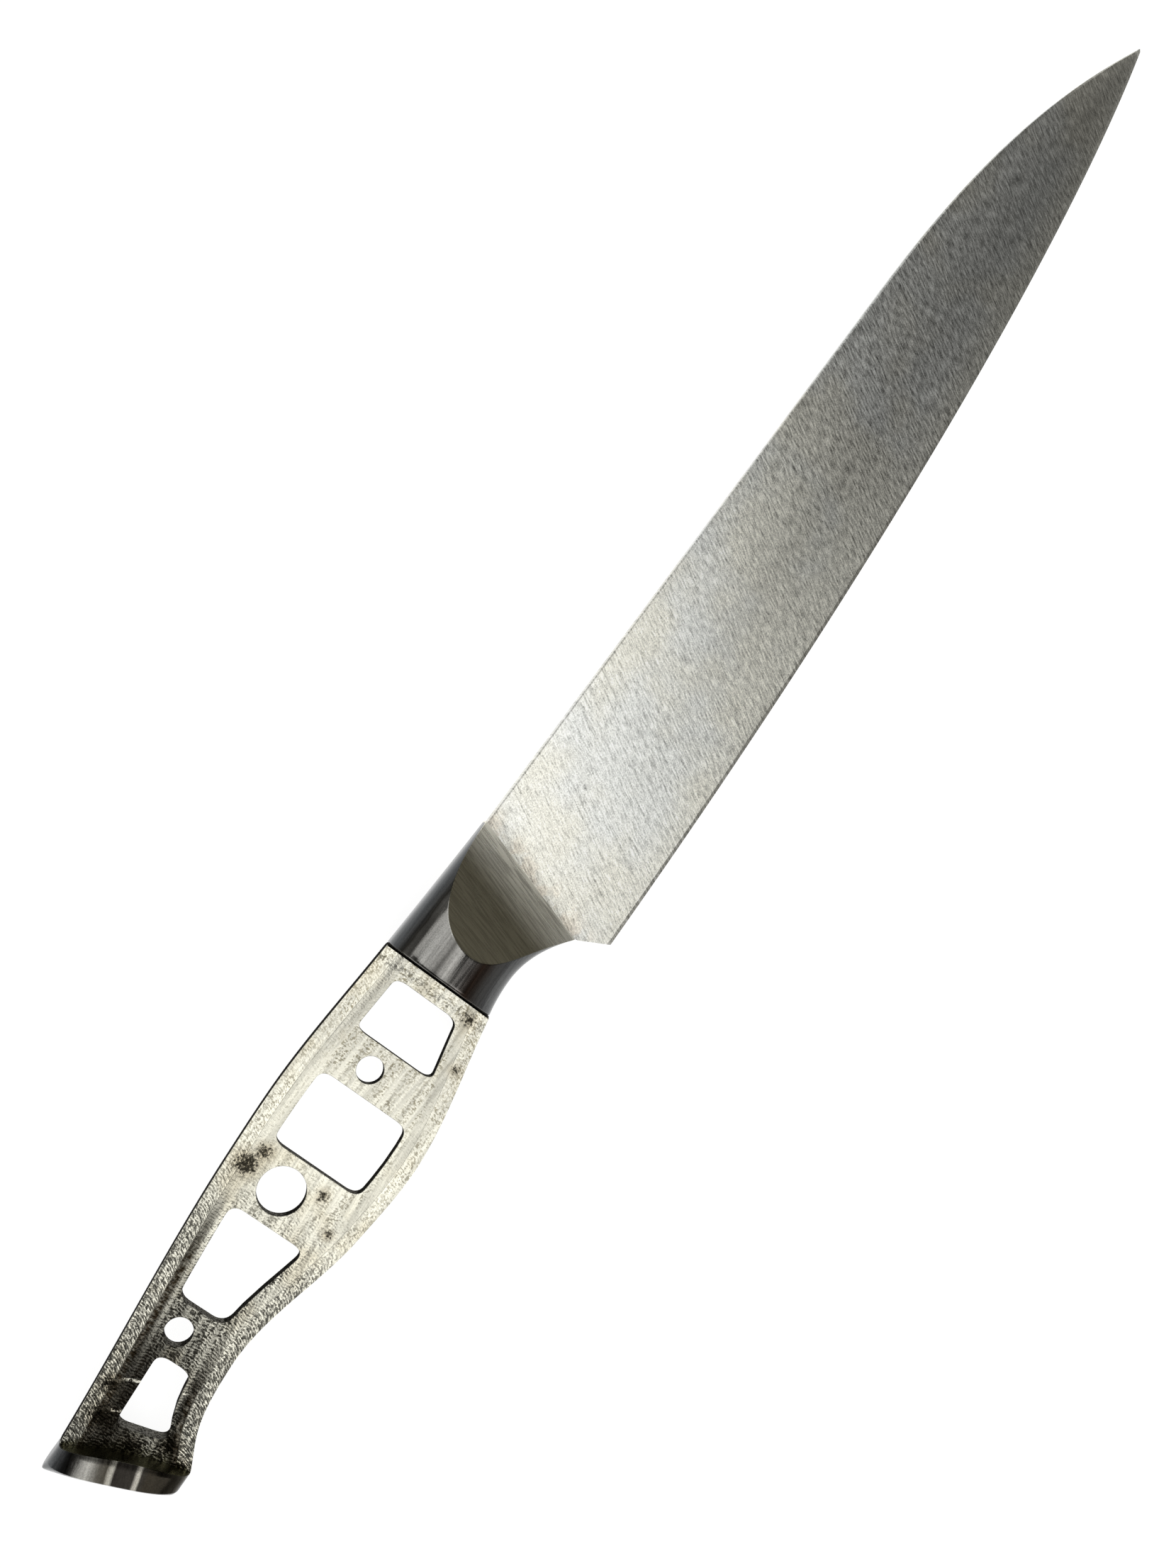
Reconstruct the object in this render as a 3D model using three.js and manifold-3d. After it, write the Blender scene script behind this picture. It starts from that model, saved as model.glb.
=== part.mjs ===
// A slicing-knife blank as it is welded up before its handle scales go on: a ground blade, an oval bolster,
// a skeleton tang and a domed butt cap. Sizes are in millimetres.
// While the pieces are made, x = 0 is the bolster's rear face, +x runs to the tip, +y to the spine,
// and z = 0 is the middle plane of the steel. The finished knife lies on its side on z = 0.

import * as THREE from "three";
import { mergeVertices } from "three/addons/utils/BufferGeometryUtils.js";
import Module from "manifold-3d";

const wasm = await Module();
wasm.setup();

// Clearance left in every joint for the weld
const JOINT_GAP = 0.25;

// Blade
const BLADE_LENGTH = 202; // heel corner to tip
const BLADE_HEIGHT = 30; // spine to edge at the heel
const SPINE_THICK = 3; // spine beside the bolster
const POINT_THICK = 1.2; // spine at the tip
const SPINE_BREAK = 0.25; // broken corners along the spine
const BEVEL_WIDTH = 0.6; // edge bevel
const BEVEL_THICK = 0.5; // blade where the edge bevel starts
const EDGE_LAND = 0.2; // flat left on the cutting edge
const POINT_DROP = 12.8; // spine line down to the tip
const POINT_LENGTH = 74; // stretch over which the spine drops
const POINT_LAND = 0.6; // blunt end of the tip
const SPINE_EASE = 32; // how far the curve holds the straight spine's direction
const POINT_EASE = 20; // how far it holds the point's direction
const POINT_ANGLE = 22; // fall of the spine at the tip, degrees
const EDGE_POINT_EASE = 44; // the same for the edge, at the tip
const EDGE_POINT_ANGLE = 14; // rise of the edge at the tip, degrees
const EDGE_HEEL_EASE = 77; // the same for the edge, at the heel
const HEEL_REACH = 21.8; // bolster's rear face to the heel corner
const TONGUE_THICK = 1; // tongue that runs back into the bolster
const TONGUE_HEIGHT = 7;
const TONGUE_LENGTH = 13;
const TONGUE_BELOW_SPINE = 1.8;

// Bolster
const BOLSTER_HEIGHT = 21.1; // at its rear face
const BOLSTER_THICK = 14.6;
const BOLSTER_LENGTH = 23; // rear face to the front line, on the knife's axis
const FRONT_SLANT = 15.7; // lean of the front line, degrees
const GRIND_RADIUS = 140; // wheel that hollows the front
const CROWN_WIDTH = 5.3; // band left round between the rear face and the ground front, on the knife's axis
const CROWN_ABOVE_AXIS = 1.9; // thickest line of the body
const BACK_ROUNDNESS = 2.5; // fullness of the section towards the spine, 2 for an ellipse
const BELLY_ROUNDNESS = 1.95; // fullness towards the belly
const SPINE_STEP = 1.25; // blade's spine below the bolster's back
const FRONT_SHOULDER = 0.35; // bolster's front end above the blade's spine
const NECK_AT = 6.6; // narrowest point of the underside, ahead of the rear face
const NECK_RISE = 0.7;
const BEARD_DROP = 15; // underside's front end below the axis

// Tang, from the bolster back: windows between webs, with a pin hole in the middle of each web
const FRONT_BAND = 3.8;
const WINDOW_1 = 10.3;
const WEB_1 = 8.5;
const WINDOW_2 = 13.4;
const WEB_2 = 11.5;
const WINDOW_3 = 16.2;
const WEB_3 = 8.4;
const WINDOW_4 = 12.1;
const REAR_BAND = 2.3;
const TANG_THICK = 2.8; // over the raised rims
const POCKET_DEPTH = 0.5; // milled floor below the rims, each side
const RIM_WIDTH = 2.4;
const RIM_SLOPE = 1.7; // run of the hollow from the rim down to the floor
const WINDOW_LEDGE = 0.6; // floor left between that hollow and a window
const LAST_FRONT_LEDGE = 2.4; // the same along the spine side of the last window, at its front end
const LAST_REAR_LEDGE = 1.7; // and at its rear end
const FLOOR_LIFT = 0.12; // each small step up of the floor towards the cap
const FIRST_LIFT_AT = 10.7; // first step, ahead of the cap's front face
const SECOND_LIFT_AT = 5.9;
const WINDOW_CORNER = 2.4;
const BACK_SWELL = 11.6; // back of the tang above the axis at the second window
const BACK_AT_PIN = 10.9; // back above the axis at the middle pin
const BELLY_SWELL = 15.5; // underside below the axis at the second window
const BELLY_AT_PIN = 14.4; // underside below the axis at the middle pin
const WAIST = 9.6; // underside below the axis at the rear pin
const BELLY_AT_LAST = 11.2; // underside below the axis at the last window
const PIN_HOLE = 4.6; // front and rear pins
const MIDDLE_HOLE = 8;
const PIN_ABOVE_AXIS = 0.45;
const TENON_HEIGHT = 13; // front tenon
const TENON_LENGTH = 5;
const REAR_FILLET = 1.1; // run of the hollow shoulder that rises to the cap
const SHOULDER_RISE = 0.42; // its height above the floor

// Butt cap
const CAP_HEIGHT = 20.6; // along its slanted front
const CAP_FRONT_THICK = 10.2;
const CAP_THICK = 11.4; // where it is thickest
const CAP_SWELL = 0.9; // front edge to the thickest place
const CAP_LENGTH = 4.9; // front edge to the end of the dome
const CAP_SLANT = 18.4; // lean of the front, degrees
const CAP_BULGE = 1; // crown of the front face
const CAP_BELOW_AXIS = 4.2; // middle of the cap below the axis
const CAP_ROUNDNESS = 3.2; // fullness of the cap's oval, 2 for an ellipse
const DOME_ROUNDNESS = 1.5; // fullness of the dome in thickness
const CORNER_ROUNDNESS = 16; // fullness along the cap's height, nearly square corners
const DOME_SWEEP = 82; // how far the dome turns before its small flat end, degrees
const CAP_SEAT_LENGTH = 2.6; // rear tenon
const CAP_SEAT_HEIGHT = 9;

// How finely the curves are cut
const BLADE_STEPS = 16;
const POINT_STEPS = 26;
const BOLSTER_STEPS = 30;
const TANG_STEPS = 32;
const DOME_STEPS = 14;
const RING_POINTS = 48;
const WHEEL_SIDES = 720;
const CAP_FACE_SIDES = 240;
const HOLLOW_STEPS = 4;

// Places that follow from the sizes
const rad = THREE.MathUtils.degToRad;
const SPINE_Y = BOLSTER_HEIGHT / 2 - SPINE_STEP;
const EDGE_Y = SPINE_Y - BLADE_HEIGHT;
const TIP = new THREE.Vector2(HEEL_REACH + BLADE_LENGTH, SPINE_Y - POINT_DROP);
const FRONT_LEAN = Math.tan(rad(FRONT_SLANT));
const frontX = (y) => BOLSTER_LENGTH + y * FRONT_LEAN;
const WINDOW_1_AT = FRONT_BAND;
const WINDOW_2_AT = WINDOW_1_AT + WINDOW_1 + WEB_1;
const WINDOW_3_AT = WINDOW_2_AT + WINDOW_2 + WEB_2;
const WINDOW_4_AT = WINDOW_3_AT + WINDOW_3 + WEB_3;
const CAP_AT = WINDOW_4_AT + WINDOW_4 + REAR_BAND;
const SWELL_AT = WINDOW_2_AT + WINDOW_2 / 2;
const PINS = [
  [WINDOW_2_AT - WEB_1 / 2, PIN_HOLE],
  [WINDOW_3_AT - WEB_2 / 2, MIDDLE_HOLE],
  [WINDOW_4_AT - WEB_3 / 2, PIN_HOLE],
];
const WAIST_AT = PINS[2][0];
// The cap's front face is a slice of a large upright cylinder whose crown stands at CAP_AT.
const CAP_ALONG = new THREE.Vector2(-Math.sin(rad(CAP_SLANT)), Math.cos(rad(CAP_SLANT)));
const CAP_OUT = new THREE.Vector2(CAP_ALONG.y, -CAP_ALONG.x);
const CAP_CROWN = new THREE.Vector2(-CAP_AT, -CAP_BELOW_AXIS);
const CAP_MIDDLE = CAP_CROWN.clone().addScaledVector(CAP_OUT, -CAP_BULGE);
const CAP_FACE_RADIUS = ((CAP_HEIGHT / 2) ** 2 + CAP_BULGE ** 2) / (2 * CAP_BULGE);
const CAP_FACE_AXIS = CAP_CROWN.clone().addScaledVector(CAP_OUT, -CAP_FACE_RADIUS);
const capEnd = (side) => CAP_MIDDLE.clone().addScaledVector(CAP_ALONG, (side * CAP_HEIGHT) / 2);
const TANG_END = CAP_BULGE - capEnd(1).x; // how far back the tang is drawn before the cap's face cuts it

// Turns a closed three.js geometry into a solid for cutting and joining.
function solid(geometry) {
  const bare = geometry.clone();
  bare.deleteAttribute("normal");
  bare.deleteAttribute("uv");
  const merged = mergeVertices(bare, 1e-4);
  return new wasm.Manifold(
    new wasm.Mesh({
      numProp: 3,
      vertProperties: new Float32Array(merged.attributes.position.array),
      triVerts: new Uint32Array(merged.index.array),
    }),
  );
}

// Turns a solid back into a named mesh with its own material.
function piece(name, body, colour, roughness) {
  const { vertProperties, triVerts } = body.getMesh();
  const geometry = new THREE.BufferGeometry();
  geometry.setAttribute("position", new THREE.BufferAttribute(vertProperties, 3));
  geometry.setIndex(new THREE.BufferAttribute(triVerts, 1));
  geometry.computeVertexNormals();
  const material = new THREE.MeshStandardMaterial({ color: colour, roughness, metalness: 1 });
  const mesh = new THREE.Mesh(geometry, material);
  mesh.name = name;
  return mesh;
}

// Skins a row of closed, convex rings with equal point counts and closes both ends.
// Each ring runs from +y round by +z, and the rings follow one another towards +x.
function loft(rings) {
  const count = rings[0].length;
  const points = rings.flat();
  const faces = [];
  for (let i = 0; i + 1 < rings.length; i++) {
    for (let j = 0; j < count; j++) {
      const a = i * count + j;
      const b = i * count + ((j + 1) % count);
      faces.push(a, b, a + count, b, b + count, a + count);
    }
  }
  for (const [start, turned] of [[0, true], [(rings.length - 1) * count, false]]) {
    const middle = new THREE.Vector3();
    for (let j = 0; j < count; j++) middle.addScaledVector(points[start + j], 1 / count);
    const hub = points.push(middle) - 1;
    for (let j = 0; j < count; j++) {
      const a = start + j;
      const b = start + ((j + 1) % count);
      faces.push(hub, turned ? b : a, turned ? a : b);
    }
  }
  return solid(new THREE.BufferGeometry().setFromPoints(points).setIndex(faces));
}

// Extrudes an outline in the plane of the knife from one height to another.
function plate(shape, low, high) {
  const options = { depth: high - low, bevelEnabled: false, curveSegments: 8 };
  return solid(new THREE.ExtrudeGeometry(shape, options).translate(0, 0, low));
}

// Makes a plate of the given thickness, half above and half below the middle plane.
const midPlate = (shape, thick) => plate(shape, -thick / 2, thick / 2);

// Makes an upright round bar, or a cone when its two radii differ.
function bar(centre, low, high, lowRadius, highRadius = lowRadius, sides = 40) {
  const geometry = new THREE.CylinderGeometry(highRadius, lowRadius, high - low, sides);
  return solid(geometry.rotateX(Math.PI / 2).translate(centre.x, centre.y, (low + high) / 2));
}

// Joins points into an outline whose corners are rounded by the given distances.
function outline(corners) {
  const at = corners.map(([x, y]) => new THREE.Vector2(x, y));
  const shape = new THREE.Shape();
  corners.forEach(([, , round = 0], i) => {
    const here = at[i];
    const before = at[(i + at.length - 1) % at.length];
    const after = at[(i + 1) % at.length];
    const enter = here.clone().lerp(before, Math.min(0.5, round / here.distanceTo(before)));
    const leave = here.clone().lerp(after, Math.min(0.5, round / here.distanceTo(after)));
    if (i === 0) shape.moveTo(enter.x, enter.y);
    else shape.lineTo(enter.x, enter.y);
    if (round > 0) shape.quadraticCurveTo(here.x, here.y, leave.x, leave.y);
  });
  shape.closePath();
  return shape;
}

// Finds the height of a curve that runs steadily along x.
function heightAt(curve, x) {
  const rising = curve.getPoint(1).x > curve.getPoint(0).x;
  let low = 0;
  let high = 1;
  for (let i = 0; i < 40; i++) {
    const middle = (low + high) / 2;
    if (curve.getPoint(middle).x < x === rising) low = middle;
    else high = middle;
  }
  return curve.getPoint(low).y;
}

// Blade: a wedge from spine to edge that thins towards the point
const spineLine = new THREE.CubicBezierCurve(
  new THREE.Vector2(TIP.x - POINT_LENGTH, SPINE_Y),
  new THREE.Vector2(TIP.x - POINT_LENGTH + SPINE_EASE, SPINE_Y),
  new THREE.Vector2(TIP.x - POINT_EASE, TIP.y + POINT_LAND / 2 + POINT_EASE * Math.tan(rad(POINT_ANGLE))),
  new THREE.Vector2(TIP.x, TIP.y + POINT_LAND / 2),
);
const edgeLine = new THREE.CubicBezierCurve(
  new THREE.Vector2(HEEL_REACH, EDGE_Y),
  new THREE.Vector2(HEEL_REACH + EDGE_HEEL_EASE, EDGE_Y),
  new THREE.Vector2(TIP.x - EDGE_POINT_EASE, TIP.y - EDGE_POINT_EASE * Math.tan(rad(EDGE_POINT_ANGLE))),
  new THREE.Vector2(TIP.x, TIP.y - POINT_LAND / 2),
);
const spineAt = (x) => (x < TIP.x - POINT_LENGTH ? SPINE_Y : heightAt(spineLine, x));
const edgeAt = (x) => (x < HEEL_REACH ? EDGE_Y : heightAt(edgeLine, x));
const spineThick = (x) => THREE.MathUtils.mapLinear(x, BOLSTER_LENGTH, TIP.x, SPINE_THICK, POINT_THICK);

function bladeRing(x) {
  const top = spineAt(x);
  const low = edgeAt(x);
  const room = top - low;
  const broken = Math.min(SPINE_BREAK, room / 6);
  const bevel = Math.min(BEVEL_WIDTH, room / 4);
  const half = spineThick(x) / 2;
  const side = [
    [top, half - broken],
    [top - broken, half],
    [low + bevel, BEVEL_THICK / 2],
    [low, EDGE_LAND / 2],
  ];
  const other = side.map(([y, z]) => [y, -z]).reverse();
  return [...side, ...other].map(([y, z]) => new THREE.Vector3(x, y, z));
}

// Half thickness of the blade's face beside the bolster, and its slopes along x and y
const FACE_RISE = (SPINE_THICK - BEVEL_THICK) / 2 / (BLADE_HEIGHT - SPINE_BREAK - BEVEL_WIDTH);
const FACE_TAPER = (POINT_THICK - SPINE_THICK) / 2 / (TIP.x - BOLSTER_LENGTH);
const FACE_MIDDLE = SPINE_THICK / 2 - FACE_RISE * (SPINE_Y - SPINE_BREAK);

function tongue(gap) {
  const high = SPINE_Y - TONGUE_BELOW_SPINE + gap;
  const low = SPINE_Y - TONGUE_BELOW_SPINE - TONGUE_HEIGHT - gap;
  const rear = frontX(high) - TONGUE_LENGTH - gap;
  const corners = [
    [frontX(high) + 1, high],
    [rear, high],
    [rear, low],
    [frontX(low) + 1, low],
  ];
  return midPlate(outline(corners), TONGUE_THICK + 2 * gap);
}

function makeBlade() {
  const rings = [];
  const start = frontX(-BEARD_DROP);
  const straight = TIP.x - POINT_LENGTH;
  for (let i = 0; i < BLADE_STEPS; i++) {
    rings.push(bladeRing(THREE.MathUtils.lerp(start, straight, i / BLADE_STEPS)));
  }
  for (let i = 0; i <= POINT_STEPS; i++) {
    rings.push(bladeRing(THREE.MathUtils.lerp(straight, TIP.x, i / POINT_STEPS)));
  }
  const beyond = 2 * BLADE_HEIGHT;
  const heelLean = (HEEL_REACH - frontX(-BEARD_DROP)) / (EDGE_Y + BEARD_DROP);
  const behind = outline([
    [-beyond, beyond],
    [frontX(beyond) + JOINT_GAP, beyond],
    [frontX(-BEARD_DROP) + JOINT_GAP, -BEARD_DROP],
    [HEEL_REACH - beyond * heelLean, EDGE_Y - beyond],
    [-beyond, EDGE_Y - beyond],
  ]);
  return loft(rings).subtract(midPlate(behind, 2 * SPINE_THICK)).add(tongue(0));
}

// Bolster: an oval body whose two faces are hollow-ground down to the blade
const backLine = new THREE.QuadraticBezierCurve(
  new THREE.Vector2(0, BOLSTER_HEIGHT / 2),
  new THREE.Vector2(frontX(SPINE_Y) / 2, SPINE_Y + 2 * FRONT_SHOULDER),
  new THREE.Vector2(frontX(SPINE_Y), SPINE_Y + FRONT_SHOULDER),
);
const neckLine = new THREE.QuadraticBezierCurve(
  new THREE.Vector2(0, -BOLSTER_HEIGHT / 2),
  new THREE.Vector2(NECK_AT / 2, NECK_RISE - BOLSTER_HEIGHT / 2),
  new THREE.Vector2(NECK_AT, NECK_RISE - BOLSTER_HEIGHT / 2),
);
const beardLine = new THREE.QuadraticBezierCurve(
  new THREE.Vector2(NECK_AT, NECK_RISE - BOLSTER_HEIGHT / 2),
  new THREE.Vector2((NECK_AT + frontX(-BEARD_DROP)) / 2, NECK_RISE - BOLSTER_HEIGHT / 2),
  new THREE.Vector2(frontX(-BEARD_DROP), -BEARD_DROP),
);

function underside(x) {
  if (x < NECK_AT) return heightAt(neckLine, x);
  return x < frontX(-BEARD_DROP) ? heightAt(beardLine, x) : -BEARD_DROP;
}

function bolsterRing(x) {
  const top = heightAt(backLine, x);
  const low = underside(x);
  const ring = [];
  for (let j = 0; j < RING_POINTS; j++) {
    const turn = (j / RING_POINTS) * 2 * Math.PI;
    const up = Math.cos(turn);
    const out = Math.sin(turn);
    const power = 2 / (up > 0 ? BACK_ROUNDNESS : BELLY_ROUNDNESS);
    const reach = up > 0 ? top - CROWN_ABOVE_AXIS : low - CROWN_ABOVE_AXIS;
    const y = CROWN_ABOVE_AXIS + reach * Math.abs(up) ** power;
    const z = (BOLSTER_THICK / 2) * Math.sign(out) * Math.abs(out) ** power;
    ring.push(new THREE.Vector3(x, y, z));
  }
  return ring;
}

// The wheel that grinds one face: it meets the blade's face along the front line and leaves the crown.
function grindingWheel(side) {
  const start = new THREE.Vector3(BOLSTER_LENGTH, 0, FACE_MIDDLE);
  const across = new THREE.Vector3(FRONT_LEAN, 1, FACE_RISE + FACE_TAPER * FRONT_LEAN).normalize();
  const out = new THREE.Vector3(-FACE_TAPER, -FACE_RISE, 1);
  out.addScaledVector(across, -out.dot(across)).normalize();
  const ahead = new THREE.Vector3().crossVectors(across, out);
  const run = (BOLSTER_LENGTH - CROWN_WIDTH) * Math.cos(rad(FRONT_SLANT));
  const rise = BOLSTER_THICK / 2 - FACE_MIDDLE;
  const chord = Math.hypot(run, rise);
  const reach = Math.sqrt(GRIND_RADIUS ** 2 - (chord / 2) ** 2);
  const axisAhead = (reach * rise) / chord - run / 2;
  const axisOut = (reach * run) / chord + rise / 2;
  const wheel = new THREE.CylinderGeometry(GRIND_RADIUS, GRIND_RADIUS, 4 * BOLSTER_HEIGHT, WHEEL_SIDES);
  wheel.translate(axisAhead, 0, axisOut);
  const place = new THREE.Matrix4().makeBasis(ahead, across, out).setPosition(start);
  const mirror = new THREE.Matrix4().makeScale(1, 1, side);
  return solid(wheel).transform(mirror.multiply(place).toArray());
}

function tenon(gap) {
  const height = TENON_HEIGHT / 2 + gap;
  const corners = [
    [TENON_LENGTH + gap, height],
    [-1, height],
    [-1, -height],
    [TENON_LENGTH + gap, -height],
  ];
  return midPlate(outline(corners), TANG_THICK + 2 * gap);
}

function makeBolster() {
  const rings = [];
  const end = frontX(SPINE_Y);
  for (let i = 0; i <= BOLSTER_STEPS; i++) rings.push(bolsterRing((end * i) / BOLSTER_STEPS));
  const beyond = 2 * BLADE_HEIGHT;
  const ahead = outline([
    [frontX(beyond), beyond],
    [frontX(-beyond), -beyond],
    [frontX(beyond) + beyond, -beyond],
    [frontX(beyond) + beyond, beyond],
  ]);
  return loft(rings)
    .subtract(grindingWheel(1))
    .subtract(grindingWheel(-1))
    .subtract(midPlate(ahead, 2 * BOLSTER_THICK))
    .subtract(tongue(JOINT_GAP))
    .subtract(tenon(JOINT_GAP));
}

// Tang: a flat frame with raised rims, windows between webs and a pin hole through each web
const flat = (x, y) => new THREE.Vector3(x, y, 0);
const tangBack = new THREE.CatmullRomCurve3(
  [
    flat(0, BOLSTER_HEIGHT / 2),
    flat(-SWELL_AT, BACK_SWELL),
    flat(-PINS[1][0], BACK_AT_PIN),
    flat(capEnd(1).x, capEnd(1).y),
    flat(capEnd(1).x - 2 * CAP_LENGTH, capEnd(1).y - CAP_LENGTH / 5),
  ],
  false,
  "chordal",
);
const tangBelly = new THREE.CatmullRomCurve3(
  [
    flat(0, -BOLSTER_HEIGHT / 2),
    flat(-SWELL_AT, -BELLY_SWELL),
    flat(-PINS[1][0], -BELLY_AT_PIN),
    flat(-WAIST_AT, -WAIST),
    flat(-WINDOW_4_AT - WINDOW_4 / 2, -BELLY_AT_LAST),
    flat(capEnd(-1).x, capEnd(-1).y),
    flat(capEnd(-1).x - 2 * CAP_LENGTH, capEnd(-1).y - CAP_LENGTH),
  ],
  false,
  "chordal",
);

// The tang's outline drawn in from its back and belly, between two distances behind the bolster
function drawnIn(inset, front, rear) {
  const back = [];
  const belly = [];
  for (let i = 0; i <= TANG_STEPS; i++) {
    const x = -THREE.MathUtils.lerp(front, rear, i / TANG_STEPS);
    back.push([x, heightAt(tangBack, x) - inset]);
    belly.unshift([x, heightAt(tangBelly, x) + inset]);
  }
  return [...back, ...belly];
}

function windowShape(front, rear, rearLean, frontLedge, rearLedge) {
  const inset = RIM_WIDTH + RIM_SLOPE;
  const back = [];
  const belly = [];
  for (let i = 0; i <= 4; i++) {
    const x = -THREE.MathUtils.lerp(front, rear, i / 4);
    const low = -THREE.MathUtils.lerp(front, rear + rearLean, i / 4);
    const ledge = THREE.MathUtils.lerp(frontLedge, rearLedge, i / 4);
    const round = i % 4 === 0 ? WINDOW_CORNER : 0;
    back.push([x, heightAt(tangBack, x) - inset - ledge, round]);
    belly.unshift([low, heightAt(tangBelly, low) + inset + WINDOW_LEDGE, round]);
  }
  return outline([...back, ...belly]);
}

function pocket(side) {
  const floor = TANG_THICK / 2 - POCKET_DEPTH;
  const shape = outline(drawnIn(RIM_WIDTH + RIM_SLOPE, -1, TANG_END));
  const milled = new THREE.ExtrudeGeometry(shape, {
    depth: TANG_THICK,
    bevelEnabled: true,
    bevelThickness: POCKET_DEPTH,
    bevelSize: RIM_SLOPE,
    bevelSegments: HOLLOW_STEPS,
  }).translate(0, 0, floor + POCKET_DEPTH);
  let cut = solid(milled);
  [FIRST_LIFT_AT, SECOND_LIFT_AT].forEach((ahead, i) => {
    const radius = CAP_FACE_RADIUS + ahead;
    const lifted = floor + (i + 1) * FLOOR_LIFT;
    cut = cut.subtract(bar(CAP_FACE_AXIS, 0, lifted, radius, radius, CAP_FACE_SIDES));
  });
  return side > 0 ? cut : cut.mirror([0, 0, 1]);
}

// The hollow shoulder that stands against the cap on both sides of the tang
function shoulder() {
  const floor = TANG_THICK / 2 - POCKET_DEPTH;
  const seat = CAP_FACE_RADIUS + JOINT_GAP;
  const upper = [new THREE.Vector2(0, floor + SHOULDER_RISE)];
  for (let i = 0; i <= 2 * HOLLOW_STEPS; i++) {
    const turn = ((i / HOLLOW_STEPS) * Math.PI) / 4;
    const across = seat + REAR_FILLET * (1 - Math.cos(turn));
    upper.push(new THREE.Vector2(across, floor + SHOULDER_RISE * (1 - Math.sin(turn))));
  }
  const lower = upper.map(({ x, y }) => new THREE.Vector2(x, -y));
  const round = new THREE.LatheGeometry([...lower, ...upper.reverse()], CAP_FACE_SIDES);
  round.rotateX(Math.PI / 2).translate(CAP_FACE_AXIS.x, CAP_FACE_AXIS.y, 0);
  const plan = outline(drawnIn(0, WINDOW_4_AT, TANG_END));
  return midPlate(plan, 2 * TANG_THICK).intersect(solid(round));
}

function capSeat(gap) {
  const depth = CAP_SEAT_LENGTH + gap;
  const half = CAP_SEAT_HEIGHT / 2 + gap;
  const reach = 1 + REAR_FILLET;
  const corner = (out, along) => {
    const at = CAP_CROWN.clone().addScaledVector(CAP_OUT, out).addScaledVector(CAP_ALONG, along);
    return [at.x, at.y];
  };
  const corners = [corner(reach, half), corner(-depth, half), corner(-depth, -half), corner(reach, -half)];
  return midPlate(outline(corners), TANG_THICK - 2 * POCKET_DEPTH + 2 * gap);
}

function makeTang() {
  let body = midPlate(outline(drawnIn(0, JOINT_GAP, TANG_END)), TANG_THICK);
  body = body.subtract(pocket(1)).subtract(pocket(-1)).add(shoulder());
  const faceRadius = CAP_FACE_RADIUS + JOINT_GAP;
  body = body.subtract(bar(CAP_FACE_AXIS, -CAP_THICK, CAP_THICK, faceRadius, faceRadius, CAP_FACE_SIDES));
  const capLean = -Math.tan(rad(CAP_SLANT)) * (BELLY_SWELL - WAIST);
  const windows = [
    windowShape(WINDOW_1_AT, WINDOW_1_AT + WINDOW_1, 0, WINDOW_LEDGE, WINDOW_LEDGE),
    windowShape(WINDOW_2_AT, WINDOW_2_AT + WINDOW_2, 0, WINDOW_LEDGE, WINDOW_LEDGE),
    windowShape(WINDOW_3_AT, WINDOW_3_AT + WINDOW_3, 0, WINDOW_LEDGE, WINDOW_LEDGE),
    windowShape(WINDOW_4_AT, WINDOW_4_AT + WINDOW_4, capLean, LAST_FRONT_LEDGE, LAST_REAR_LEDGE),
  ];
  for (const shape of windows) body = body.subtract(midPlate(shape, 2 * CAP_THICK));
  for (const [distance, size] of PINS) {
    const centre = new THREE.Vector2(-distance, PIN_ABOVE_AXIS);
    body = body.subtract(bar(centre, -TANG_THICK, TANG_THICK, size / 2));
  }
  return body.add(tenon(0)).add(capSeat(0));
}

// Butt cap: an oval collar behind a crowned front face, which swells a little and closes in a dome
function capThickness(behind) {
  const front = (CAP_THICK - CAP_FRONT_THICK) * Math.max(0, 1 - behind / CAP_SWELL) ** 2;
  const closing = Math.max(0, behind - CAP_SWELL) / (CAP_LENGTH - CAP_SWELL);
  return CAP_THICK * (1 - closing ** DOME_ROUNDNESS) ** (1 / DOME_ROUNDNESS) - front;
}

function capRing(behind, half, thick) {
  const ring = [];
  for (let j = 0; j < RING_POINTS; j++) {
    const turn = (j / RING_POINTS) * 2 * Math.PI;
    const full = (share) => Math.sign(share) * Math.abs(share) ** (2 / CAP_ROUNDNESS);
    const at = CAP_MIDDLE.clone().addScaledVector(CAP_ALONG, half * full(Math.cos(turn)));
    ring.push(new THREE.Vector3(at.x - behind, at.y, thick * full(Math.sin(turn))));
  }
  return ring;
}

function makeCap() {
  const rings = [];
  for (let i = DOME_STEPS; i >= 0; i--) {
    const share = Math.sin((i / DOME_STEPS) * rad(DOME_SWEEP));
    const half = (CAP_HEIGHT / 2) * (1 - share ** CORNER_ROUNDNESS) ** (1 / CORNER_ROUNDNESS);
    rings.push(capRing(share * CAP_LENGTH, half, capThickness(share * CAP_LENGTH) / 2));
  }
  rings.push(capRing(-2 * CAP_BULGE, CAP_HEIGHT / 2, CAP_FRONT_THICK / 2));
  const face = bar(CAP_FACE_AXIS, -CAP_THICK, CAP_THICK, CAP_FACE_RADIUS, CAP_FACE_RADIUS, CAP_FACE_SIDES);
  return loft(rings).intersect(face).subtract(capSeat(JOINT_GAP));
}

const knife = new THREE.Group();
knife.add(
  piece("blade", makeBlade(), 0xb9bab2, 0.38),
  piece("bolster", makeBolster(), 0x8f9290, 0.18),
  piece("tang", makeTang(), 0xd2cdb8, 0.42),
  piece("butt_cap", makeCap(), 0x9a988f, 0.16),
);

// Lay the knife on its side with the middle of its box over the origin.
const box = new THREE.Box3().setFromObject(knife);
const middle = box.getCenter(new THREE.Vector3());
knife.position.set(-middle.x, -middle.y, -box.min.z);

const part = new THREE.Group();
part.add(knife);

export default part;
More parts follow.
